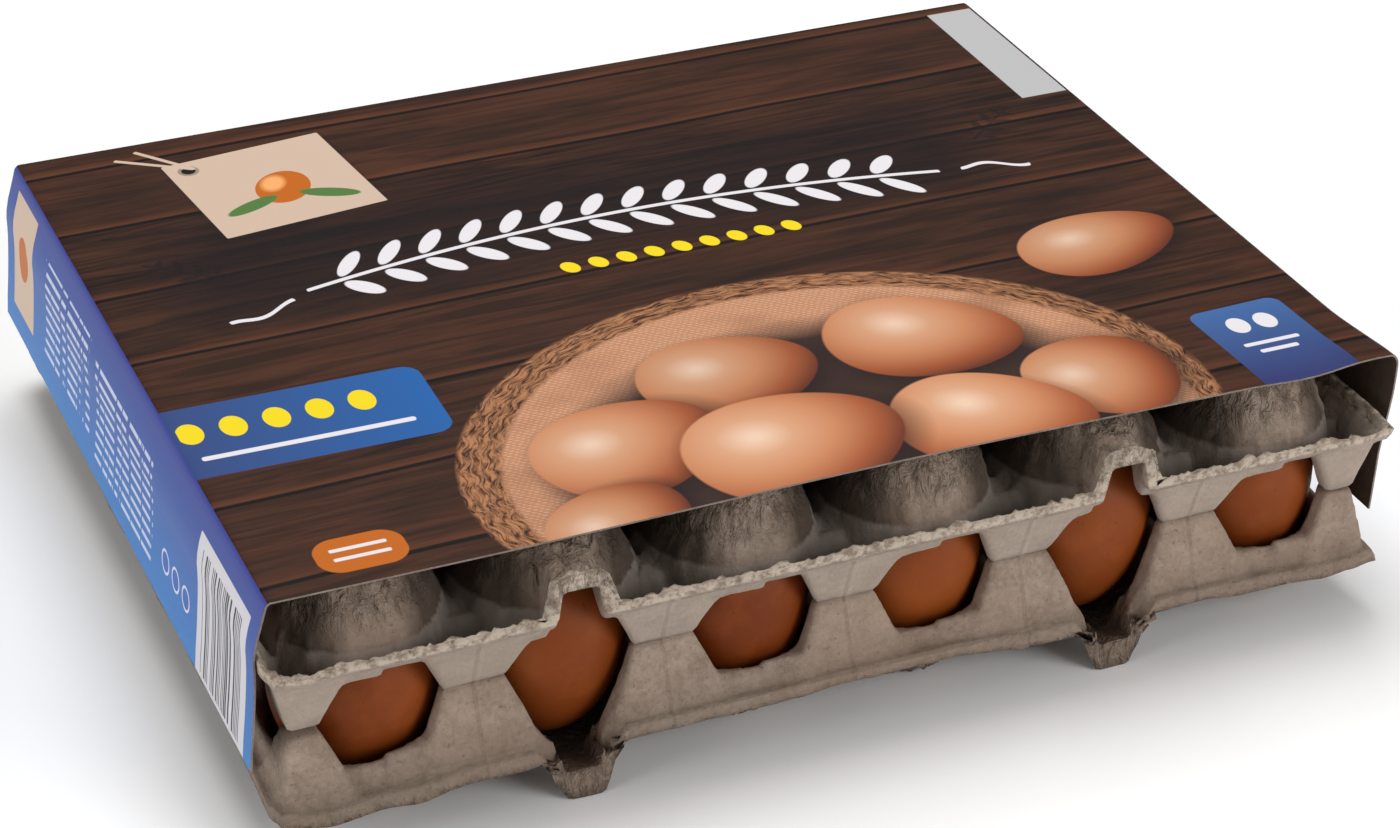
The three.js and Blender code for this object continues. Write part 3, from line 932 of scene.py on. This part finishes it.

# %% [markdown]
# The turned-over cups are wrinkled, where the wet sheet slid down the mould, with painted shade in
# their creases and in the hollows between them. The hollows lie on the lines of the posts, so the
# distance to the nearest post line, across and along, gives both them and the seams that come
# next.
# The lid's posts are painted lighter, as light thrown up by the white table, and the lower tray is
# painted darker towards its foot, as shade.

# %% Pulp: painted shade in creases, hollows and at the foot, painted light on the lid's posts
outside_cups = ramp(from_joint, HALF_LID - 1 * MM, HALF_LID + 5 * MM)
folds = noise(stretched(place, (1, 1, 0.3)), 300, 4, 0.65, 0.8)
# Painted shade: the pulp is darkened along the wrinkles, as shade in their creases.
painted_crease_shade = ramp(folds, 0.5, 0.36) * outside_cups
base = blend_colours(painted_crease_shade * 0.5, base, srgb(92, 77, 65))

post_offsets = [
    abs((part - (line - PITCH / 2)) % PITCH - PITCH / 2)
    for part, line in ((across, MIDDLE_X), (along, MIDDLE_Y + PITCH / 2))
]
# Painted shade: the hollows and grooves between the cups are darkened on the lid's upward faces
# inside its rim.
painted_hollow_shade = ramp(maths("MAXIMUM", *post_offsets), 18 * MM, 11 * MM)
for offset, run, length in zip(post_offsets, (from_side, from_front), (HALF_WIDTH, HALF_DEPTH)):
    painted_groove_shade = ramp(offset, 18 * MM, 10 * MM) * ramp(run, length - 14 * MM, length - 18 * MM)
    painted_hollow_shade = maths("MAXIMUM", painted_hollow_shade, painted_groove_shade)
facing_up = split(place.node.outputs["Normal"])[2]
for value, none, full in (
    (facing_up, -0.1, 0.25),
    (up, RIM_FOOT + 21.3 * MM, RIM_FOOT + 22 * MM),
    (from_front, HALF_DEPTH - 3.4 * MM, HALF_DEPTH - 6 * MM),
    (from_side, HALF_WIDTH - 3.4 * MM, HALF_WIDTH - 6 * MM),
):
    painted_hollow_shade = painted_hollow_shade * ramp(value, none, full)
base = blend_colours(painted_hollow_shade * 0.8, base, srgb(50, 39, 31))

# Painted light: the lid's posts are lightened, as the white table lights them from below.
above_joint = ramp(up, RIM_FOOT + 20.5 * MM, RIM_FOOT + 21.5 * MM)
painted_light_on_lid_posts = above_joint * ramp(from_joint, HALF_LID - 3.6 * MM, HALF_LID - 4.6 * MM)
base = blend_colours(painted_light_on_lid_posts * 0.45, base, srgb(172, 160, 150))
# Painted shade: the lower tray is darkened towards its foot.
foot = ramp(up, RIM_FOOT + 13 * MM, RIM_FOOT + 2 * MM, 0, 0.45)
base = blend_colours(foot, base, srgb(98, 80, 67))
print("pulp has", len(pulp.node_tree.nodes), "nodes with its creases and hollows")

# %% [markdown]
# A fine seam runs down the middle of each outer post, left by a joint in the mould. It is a
# narrow ridge on the post line, and only on the outer faces. Then the bumps are laid over
# each other, from the finest to the broadest: felt, the rim's pits, wrinkles and seams.

# %% Pulp: seams and bumps
SEAM_HALF = 1.1 * MM

seams = None
for offset, apart, edge, run, length in (
    (post_offsets[0], from_front, HALF_DEPTH, from_side, HALF_WIDTH),
    (post_offsets[1], from_side, HALF_WIDTH, from_front, HALF_DEPTH),
):
    outer = ramp(apart, edge - 13 * MM, edge - 12.5 * MM)
    clear_of_ends = ramp(run, length - 13 * MM, length - 14 * MM)
    seam = ramp(offset, SEAM_HALF, 0) * (outer * clear_of_ends)
    seams = maths("MAXIMUM", seams, seam) if seams else seam
seams = seams * ramp(up, RIM_FOOT + LID_HEIGHT - 4 * MM, RIM_FOOT + LID_HEIGHT - 5 * MM)
normal = bump(paper["Height"], 0.5, 0.5 * MM)
normal = bump(pits * rim, 0.7, 0.7 * MM, Normal=normal)
normal = bump((folds - 0.5) * outside_cups, 1.0, 5 * MM, Normal=normal)
normal = bump(seams, 0.8, 0.5 * MM, Normal=normal)
surface(shader, Base_Color=base, Roughness=0.93, Specular_IOR_Level=0.2, Normal=normal)
print("pulp has", len(pulp.node_tree.nodes), "nodes in all")

# %% [markdown]
# Brown eggshell runs from pale to deep tan from egg to egg, with faint clouds, a few dark
# flecks and fine pores. The tint comes from slow noise over the whole pack.

# %% Eggshell material
shell, shader, place = material("brown_eggshell")
tint = noise(place, 16, 1)
cloud = noise(place, 110, 3, 0.6)
fleck = noise(place, 700)
base = blend_colours(ramp(tint, 0.35, 0.65), srgb(110, 48, 12), srgb(138, 68, 23))
base = blend_colours(ramp(cloud, 0.45, 0.75, 0, 0.35), base, srgb(150, 80, 36))
base = blend_colours(ramp(fleck, 0.7, 0.76, 0, 0.55), base, srgb(76, 32, 14))
pores = bump(noise(place, 1600), 0.12, 0.2 * MM)
surface(shader, Base_Color=base, Roughness=0.5, Specular_IOR_Level=0.16, Normal=pores)
print("eggshell has", len(shell.node_tree.nodes), "nodes")

# %% [markdown]
# The sleeve's print is drawn with simple shapes. Each is a mask made by a node group: a bar
# with rounded corners, or an oval. Both are placed by their centre, half size and turn, in
# millimetres from the middle of the tray, and their edges have a softness.

# %% Shape groups for the print
PLACED = [("Vector", "Place"), ("Vector", "Centre"), ("Vector", "Size"), ("Float", "Turn")]
SHAPE_INPUTS = [*PLACED, ("Float", "Softness")]


def vector_maths(operation, first, second=(0, 0, 0)):
    """One Vector Math node, as its vector."""
    return add("VectorMath", {"operation": operation}, i0=first, i1=second).outputs[0]


def length_of(vector):
    """The length of a vector."""
    return Field(add("VectorMath", {"operation": "LENGTH"}, i0=vector).outputs[1])


def turned_place(inside):
    """The place seen from a shape's own centre and turn."""
    turned = add(
        "VectorRotate", {"rotation_type": "Z_AXIS"},
        Vector=inside["Place"], Center=inside["Centre"], Angle=inside["Turn"] * (-math.pi / 180),
    )
    return vector_maths("SUBTRACT", turned.outputs[0], inside["Centre"])


def edge_mask(distance, softness):
    """One inside the edge, nought outside, over a soft width."""
    return ramp(distance, softness * 0.5, softness * -0.5)


bar_shape, inside, outside = group(
    "bar shape", [*SHAPE_INPUTS, ("Float", "Corner", 0.01)], [("Float", "Mask")],
)
corner = inside["Corner"]
straight = vector_maths("SUBTRACT", inside["Size"], joined(corner, corner))
over = vector_maths("SUBTRACT", vector_maths("ABSOLUTE", turned_place(inside)), straight)
deepest = maths("MINIMUM", maths("MAXIMUM", *split(over)[:2]), 0)
distance = length_of(vector_maths("MAXIMUM", over)) + deepest - corner
fill(outside["Mask"], edge_mask(distance, inside["Softness"]))

oval_shape, inside, outside = group("oval shape", SHAPE_INPUTS, [("Float", "Mask")])
own = vector_maths("DIVIDE", turned_place(inside), inside["Size"])
from_centre = length_of(vector_maths("MULTIPLY", own, (1, 1, 0)))
distance = (from_centre - 1) * split(inside["Size"])[1]
fill(outside["Mask"], edge_mask(distance, inside["Softness"]))
print("shape groups:", [made.name for made in (bar_shape, oval_shape)])

# %% [markdown]
# A printed egg is a picture of an egg in light: a tapered oval, toned from a bright spot near
# its top to a dark rim, with a soft shadow under it. It is a group of its own, because a tree
# that holds each of these steps for every egg grows too large for the renderer.

# %% Printed egg, a node group
EGG_TAPER = 0.16
EGG_TONES = (
    (0.2, srgb(164, 88, 52)), (0.5, srgb(202, 136, 95)), (0.75, srgb(214, 160, 124)),
    (0.97, srgb(234, 200, 174)),
)

egg_picture, inside, outside = group(
    "egg picture",
    [*PLACED, ("Float", "Shade")],
    [("Float", "Shadow"), ("Float", "Body"), ("Color", "Colour")],
)
lengthwise, sideways, _ = split(vector_maths("DIVIDE", turned_place(inside), inside["Size"]))
flat = joined(lengthwise, sideways / (1.0 - lengthwise * EGG_TAPER))
from_shadow = length_of(vector_maths("SUBTRACT", flat, (0.05, -0.14, 0)))
from_light = length_of(vector_maths("SUBTRACT", flat, (-0.24, 0.32, 0)))
fill(outside["Body"], ramp(length_of(flat), 1.01, 0.985))
fill(outside["Shadow"], ramp(from_shadow, 1.22, 0.82))
tones = add("ValToRGB", Fac=ramp(from_light, 1.36, 0))
stops = tones.color_ramp.elements
stops[0].color = srgb(108, 52, 32)
stops.remove(stops[1])
for position, tone in EGG_TONES:
    stops.new(position).color = tone
fill(outside["Colour"], blend_colours(1.0 - inside["Shade"], tones.outputs[0], srgb(60, 26, 16)))
print("egg picture group has", len(egg_picture.nodes), "nodes")

# %% [markdown]
# Printing lays one colour over another through a mask, so a print is kept as the colour it
# has so far. A shape may be drawn in a place of its own, such as one folded so that it repeats.

# %% Ink, the colours of a print laid over each other
class Ink:
    """A print in one material: the place it is drawn in and its colour so far."""

    def __init__(self, place, colour):
        self.place = place
        self.colour = colour

    def mask(self, shape, centre, size, turn=0, soft=0.25, place=None, **corner):
        """The mask of one shape, in mm and degrees. A bar also takes Corner, its radius."""
        return use(
            shape, Place=place or self.place, Centre=(*centre, 0), Size=(*size, 1), Turn=turn,
            Softness=soft, **corner,
        )["Mask"]

    def lay(self, mask, colour, strength=1.0):
        """Prints a colour through a mask."""
        if strength != 1.0:
            mask = mask * strength
        self.colour = blend_colours(mask, self.colour, colour)

    def bar(self, centre, size, colour, turn=0, corner=0.01, soft=0.25, strength=1.0):
        """Prints a bar with rounded corners."""
        self.lay(self.mask(bar_shape, centre, size, turn, soft, Corner=corner), colour, strength)

    def oval(self, centre, size, colour, turn=0, soft=0.25, strength=1.0):
        """Prints an oval."""
        self.lay(self.mask(oval_shape, centre, size, turn, soft), colour, strength)

    def egg(self, centre, size, turn, shade):
        """Prints an egg with its shadow."""
        egg = use(
            egg_picture, Place=self.place, Centre=(*centre, 0), Size=(*size, 1), Turn=turn,
            Shade=shade,
        )
        self.lay(egg["Shadow"], srgb(26, 18, 20), 0.75)
        self.lay(egg["Body"], egg["Colour"])


def repeated(value, step, start=0.0):
    """Folds a value so that what is drawn about nought comes again at every step."""
    return (value + start) % step - step / 2


WHITE_INK = srgb(226, 222, 226)
YELLOW_INK = srgb(238, 212, 28)
CREAM_INK = srgb(205, 180, 160)
ORANGE_INK = srgb(190, 100, 26)
GREEN_INK = srgb(82, 120, 62)
DARK_INK = srgb(24, 16, 18)
PALE_INK = srgb(206, 212, 232)
print("inks are ready")

# %% [markdown]
# The background is dark brown planks, running along the pack. Each plank has its own tone,
# long streaked grain, and a dark gap to the next plank, with a light edge beside it.

# %% Planks, a node group
PLANK_WIDTH = 37

planks, inside, outside = group("printed planks", [("Vector", "Place")], [("Color", "Colour")])
place = inside["Place"]
wander = noise(stretched(place, (0.006, 0.02, 1)), 1.0)
x, y, _ = split(place)
across = y + wander * 7 + x * -0.02
number = (across + 400) / PLANK_WIDTH
which = maths("FLOOR", number)
share = maths("FRACT", number)
tone = add("TexWhiteNoise", {"noise_dimensions": "1D"}, W=which).outputs[0]
streaks = noise(stretched(joined(x, across, which * 7), (0.012, 0.16, 1)), 1.6, 5, 0.6, 1.1)
fine_streaks = noise(stretched(place, (0.03, 0.9, 1)), 1.5, 3, 0.6, 0.5)
blotch = noise(stretched(place, (0.01, 0.03, 1)), 1.3, 3, 0.6)
wood = blend_colours(ramp(streaks, 0.36, 0.62), srgb(24, 14, 11), srgb(72, 42, 28))
wood = blend_colours(ramp(tone, 0, 1, 0.0, 0.35), wood, srgb(86, 50, 31))
wood = blend_colours(ramp(fine_streaks, 0.5, 0.75, 0, 0.35), wood, srgb(22, 14, 13))
wood = blend_colours(ramp(blotch, 0.45, 0.7, 0, 0.6), wood, srgb(27, 18, 17))
wood = blend_colours(ramp(share, 0.03, 0.12, 0.45, 0), wood, srgb(116, 66, 40))
gap = maths("MINIMUM", share, 1.0 - share)
wood = blend_colours(ramp(gap, 0.014, 0.03, 0.95, 0), wood, srgb(8, 5, 6))
fill(outside["Colour"], wood)
print("planks group has", len(planks.nodes), "nodes")

# %% [markdown]
# The print on the top lies in the plane of the top, so it reads the place across and along
# the pack. It is generic. First come the planks, a darker patch where a pack carries its
# title, and a blank cream tag on a string, with a fruit between two leaves.

# %% Top print: planks and tag
def in_millimetres(place):
    """The place from the middle of the tray and the foot of its rim, as three numbers."""
    return split(add(
        "Mapping", Vector=place, Scale=(1 / MM, 1 / MM, 1 / MM),
        Location=(-MIDDLE_X / MM, -MIDDLE_Y / MM, -RIM_FOOT / MM),
    ).outputs[0])


printed, top_shader, top_object_place = material("printed_card")
x, y, _ = in_millimetres(top_object_place)
top_place = joined(x, y)
top = Ink(top_place, use(planks, Place=top_place)["Colour"])

top.bar((-8, 38), (118, 24), DARK_INK, -1, 20, 26, 0.8)
top.bar((-82, 84), (23.6, 24.2), DARK_INK, 6.2, 1, 3, 0.6)
top.bar((-82, 84.6), (23.6, 24.2), CREAM_INK, 6.2, 0.5)
top.oval((-101.5, 101.2), (3, 3), srgb(150, 136, 118))
top.oval((-101.5, 101.2), (2, 2), DARK_INK)
top.bar((-106, 110), (10.5, 0.7), CREAM_INK, 128, 0.4)
top.bar((-109.5, 108.5), (11.5, 0.7), CREAM_INK, 146, 0.4)
top.oval((-80, 82), (7.6, 9.8), ORANGE_INK, -24)
top.oval((-82, 85), (3.2, 4.6), srgb(240, 168, 104), -24, 2.5)
for side in (-1, 1):
    top.oval((-80 + 11 * side, 74), (8.5, 2.6), GREEN_INK, -24 * side)
print("tag drawn with", len(printed.node_tree.nodes), "nodes")

# %% [markdown]
# In the place of a title there is a garland. One pair of leaves is drawn, and repeated by
# folding the place along the pack. Yellow seeds and a pair of faint dark sprigs are folded in
# the same way, and two wavy flourishes are drawn one by one.

# %% Top print: garland, seeds, flourishes and sprigs
arched = y + maths("POWER", abs(x), 2.0) * 0.0012
leaf_place = joined(repeated(x, 12), abs(arched - 32))
leaves = top.mask(oval_shape, (0.6, 7), (6.6, 2.5), 52, place=leaf_place)
top.lay(leaves * top.mask(bar_shape, (0, 32), (84, 40)), WHITE_INK)
stem = top.mask(bar_shape, (0, 32), (92, 0.8), place=joined(x, arched), Corner=0.5)
top.lay(stem, WHITE_INK)
seeds = top.mask(oval_shape, (0, 7), (2.4, 3.2), 20, place=joined(repeated(x, 8, 4), y))
top.lay(seeds * top.mask(bar_shape, (8, 7), (36, 8)), YELLOW_INK)
wavy_place = joined(x, y + maths("SINE", x * 0.34) * 1.5)
for centre, turn in (((-106, 14), 18), ((108, 20), -14)):
    top.lay(top.mask(bar_shape, centre, (10, 0.8), turn, place=wavy_place, Corner=0.5), WHITE_INK)

SPRIG_CENTRE = (119, 44, 0)
mirrored_place = joined(abs(x), y)
turned = add(
    "VectorRotate", {"rotation_type": "Z_AXIS"},
    Vector=mirrored_place, Center=SPRIG_CENTRE, Angle=-0.7,
)
lengthwise, sideways, _ = split(vector_maths("SUBTRACT", turned.outputs[0], SPRIG_CENTRE))
twig_place = joined(repeated(lengthwise, 6), abs(sideways))
twigs = top.mask(oval_shape, (0, 2.8), (3, 1.2), 50, 0.5, place=twig_place)
twigs = twigs * top.mask(bar_shape, SPRIG_CENTRE[:2], (9, 8), 40, place=mirrored_place)
stem = top.mask(bar_shape, SPRIG_CENTRE[:2], (12, 0.5), 40, 0.5, place=mirrored_place)
top.lay(maths("MAXIMUM", twigs, stem), DARK_INK, 0.6)
print("garland drawn with", len(printed.node_tree.nodes), "nodes")

# %% [markdown]
# The nest is a ring of plaited straw, its strands drawn by angle and distance round its
# middle. Sacking lies in it, woven of two wavering sets of threads and shaded by soft folds,
# and then the eggs, from the back to the front, with one more beside the nest.

# %% Top print: nest of eggs on sacking
NEST_CENTRE = (8, -98)
NEST_SIZE = (97, 80)
NEST_EGGS = (
    ((-8, -62), (24, 20), 8, 0.84),
    ((46, -62), (26, 21), -16, 0.93),
    ((-44, -84), (25, 21), 22, 0.93),
    ((80, -96), (20, 20), 40, 0.88),
    ((44, -106), (26, 22), -18, 1.0),
    ((-58, -116), (19, 17), 40, 0.86),
    ((-6, -99), (29, 24), 12, 1.0),
    ((113, -32), (24, 16), 12, 0.84),
)


def threads(direction, scale):
    """Wavering bands, for one set of the cloth's threads."""
    node = add(
        "TexWave", {"wave_type": "BANDS", "bands_direction": direction},
        Vector=top_place, Scale=scale, Distortion=3.0, Detail=2.0,
    )
    return Field(node.outputs["Fac"])


from_nest = vector_maths(
    "DIVIDE", vector_maths("SUBTRACT", top_place, (*NEST_CENTRE, 0)), (*NEST_SIZE, 1),
)
nest_x, nest_y, _ = split(from_nest)
angle = maths("ARCTAN2", nest_y, nest_x)
twist = maths("SINE", angle * 60) * 0.45
strands = noise(joined(angle * 16, length_of(from_nest) * 90 + twist), 1.0, 3, 0.7, 0.9)
straw = blend_colours(ramp(strands, 0.38, 0.6), srgb(58, 32, 22), srgb(176, 122, 84))
top.lay(top.mask(oval_shape, NEST_CENTRE, NEST_SIZE, 0, 1.2), straw)
woven = threads("DIAGONAL", 0.36) * threads("Y", 0.3)
cloth = blend_colours(woven, srgb(184, 130, 98), srgb(214, 168, 134))
cloth_folds = noise(stretched(top_place, (0.03, 0.05, 1)), 1.0)
cloth = blend_colours(ramp(cloth_folds, 0.45, 0.7, 0, 0.45), cloth, srgb(136, 88, 64))
top.lay(top.mask(oval_shape, (9, -102), (88, 76), 0, 1.5), cloth)
top.oval((10, -108), (76, 62), srgb(40, 26, 26), 0, 12, 0.95)
for centre, size, turn, shade in NEST_EGGS:
    top.egg(centre, size, turn, shade)
print("nest drawn with", len(printed.node_tree.nodes), "nodes")

# %% [markdown]
# Last come plain fields: a blue ribbon with beads, a blue tab, a white label and an orange
# pill, with rules and dots in the place of words. The card itself has a low gloss and a faint
# tooth, which both of the sleeve's printed materials share.

# %% Top print: plain fields, and the surface of the card
def print_on_card(shader, colour, place):
    """Gives a material its print, with the faint tooth and low gloss of the card."""
    tooth = bump(noise(place, 900, 3, 0.6), 0.05, 0.1 * MM)
    surface(shader, Base_Color=colour, Roughness=0.42, Specular_IOR_Level=0.1, Normal=tooth)


ribbon = blend_colours(ramp(x, -146, -80), srgb(54, 72, 122), srgb(36, 96, 164))
top.lay(top.mask(bar_shape, (-122, -42), (43, 17), -1, Corner=5), ribbon)
beads = top.mask(oval_shape, (0, -37.5), (3.4, 5), 0, place=joined(repeated(x, 11, 3), y))
top.lay(beads * top.mask(bar_shape, (-116.5, -38), (27, 8)), YELLOW_INK)
top.bar((-114, -50.5), (27, 1), WHITE_INK, -1, 0.8)
tab = blend_colours(ramp(y, -114, -76), srgb(50, 58, 108), srgb(66, 104, 160))
top.lay(top.mask(bar_shape, (128, -98), (13.5, 21), 2, Corner=3.5), tab)
top.oval((124, -87), (3, 4), WHITE_INK)
top.oval((132, -87), (3, 4), WHITE_INK)
top.bar((128, -97), (8, 0.8), WHITE_INK, 0, 0.6)
top.bar((128, -101), (5.5, 0.8), WHITE_INK, 0, 0.6)
top.bar((142.6, 87), (7.2, 31.5), srgb(184, 184, 185), 0, 0.2)
top.bar((-118.5, -103.3), (11, 7.4), ORANGE_INK, 0, 6)
top.bar((-118.5, -101), (7, 0.7), WHITE_INK, 0, 0.5)
top.bar((-118.5, -105), (7, 0.7), WHITE_INK, 0, 0.5)
print_on_card(top_shader, top.colour, top_object_place)
print("print on the top has", len(printed.node_tree.nodes), "nodes")

# %% [markdown]
# The side panels are blue, lighter towards the bottom, and read the place along the pack and
# up. Pale rules stand in for lines of small print, beside a blank cream card and a striped
# label. They are a material of their own, on the sleeve's fourth slot.

# %% Print on the side panels
RULE_STEP = 3.4

printed_sides, shader, place = material("printed_panels")
_, y, z = in_millimetres(place)
side_place = joined(y, z)
side = Ink(side_place, blend_colours(ramp(z, 10, 56), srgb(58, 124, 192), srgb(62, 70, 142)))
rules = ramp(abs(repeated(z, RULE_STEP, 1.4)), 0.75, 0.5)
words = ramp(noise(stretched(side_place, (0.35, 0.02, 1)), 1.0, 1), 0.42, 0.46)
blocks = maths(
    "MAXIMUM", side.mask(bar_shape, (56, 33), (24, 15)), side.mask(bar_shape, (-2, 31), (28, 16)),
)
side.lay(rules * words * blocks, PALE_INK, 0.85)
side.bar((104, 35), (11, 17), CREAM_INK, 0, 0.3)
side.oval((104, 36), (5, 7), ORANGE_INK, 12)
for number in range(3):
    side.oval((-42 - 9 * number, 24), (3.4, 3.4), PALE_INK)
    side.oval((-42 - 9 * number, 24), (2.7, 2.7), srgb(60, 100, 176))
side.bar((-90, 28), (20, 21), srgb(206, 204, 208), 0, 0.5)
stripes = ramp(noise(stretched(side_place, (0.9, 0, 0)), 1.0, 0), 0.5, 0.53)
side.lay(stripes * side.mask(bar_shape, (-90, 29), (16, 17)), srgb(46, 42, 50))
print_on_card(shader, side.colour, place)
print("print on the side panels has", len(printed_sides.node_tree.nodes), "nodes")

# %% [markdown]
# The inside of the card and its cut edge are plain board, darker inside than at the cut.

# %% Board materials
def board(name, dark, light):
    """Unprinted card: paper fibre in two tones."""
    made, shader, place = material(name)
    mottle = use(fibre, Place=place, Fineness=1.6)["Mottle"]
    base = blend_colours(ramp(mottle, 0.35, 0.65), dark, light)
    surface(shader, Base_Color=base, Roughness=0.85)
    return made


inside_board = board("card_inside", srgb(62, 48, 38), srgb(80, 64, 52))
cut_board = board("card_cut", srgb(104, 92, 82), srgb(140, 128, 117))
for slot, made in enumerate((printed, inside_board, cut_board, printed_sides)):
    sleeve.data.materials[slot] = made
print("sleeve materials:", [made.name for made in sleeve.data.materials])

# %% [markdown]
# Every piece rides on the pack's one body and stands for its imported node, which is hidden.

# %% Joining the pieces to the frame
for piece, node, made, slot in (
    (lower_tray, "lower_tray", pulp, "pulp"),
    (upper_tray, "upper_tray", pulp, "pulp"),
    (sleeve, "sleeve", None, "card"),
    *((egg, node, shell, "eggshell") for egg, node in eggs),
):
    if made:
        piece.data.materials.clear()
        piece.data.materials.append(made)
    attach(piece, "root")
    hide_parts(node)

# %% [markdown]
# The pack stands on a plain white table under large soft lamps: one above and behind, one at
# the left, and a low wide one in front, which lights the posts as the white table does.

# %% Floor and soft studio light
bpy.ops.object.select_all(action="DESELECT")
bpy.ops.mesh.primitive_plane_add(size=8, location=(0, 0, tray_low.z - 0.2 * MM))
floor = new_piece("floor")
white, shader, _ = material("white_table")
surface(shader, Base_Color=srgb(250, 250, 250), Roughness=0.8)
floor.data.materials.append(white)


def lamp(name, place, aim, size, power):
    """A square area lamp aimed at a place."""
    bpy.ops.object.light_add(type="AREA", location=place)
    made = bpy.context.object
    made.name = name
    made.data.size = size
    made.data.energy = power
    made.rotation_euler = (Vector(aim) - Vector(place)).to_track_quat("-Z", "Y").to_euler()


target = (0, 0, 30 * MM)
lamp("top_lamp", (0.1, 0.5, 1.45), target, 1.1, 18.5)
lamp("left_lamp", (-1.4, -0.2, 0.4), target, 0.9, 8)
lamp("front_lamp", (0.9, -1.35, 0.6), target, 0.9, 15)
bpy.context.scene.view_settings.view_transform = "Standard"
world = bpy.data.worlds.new("studio")
world.use_nodes = True
background = world.node_tree.nodes["Background"].inputs
background["Color"].default_value = (1, 1, 1, 1)
background["Strength"].default_value = 0.25
bpy.context.scene.world = world
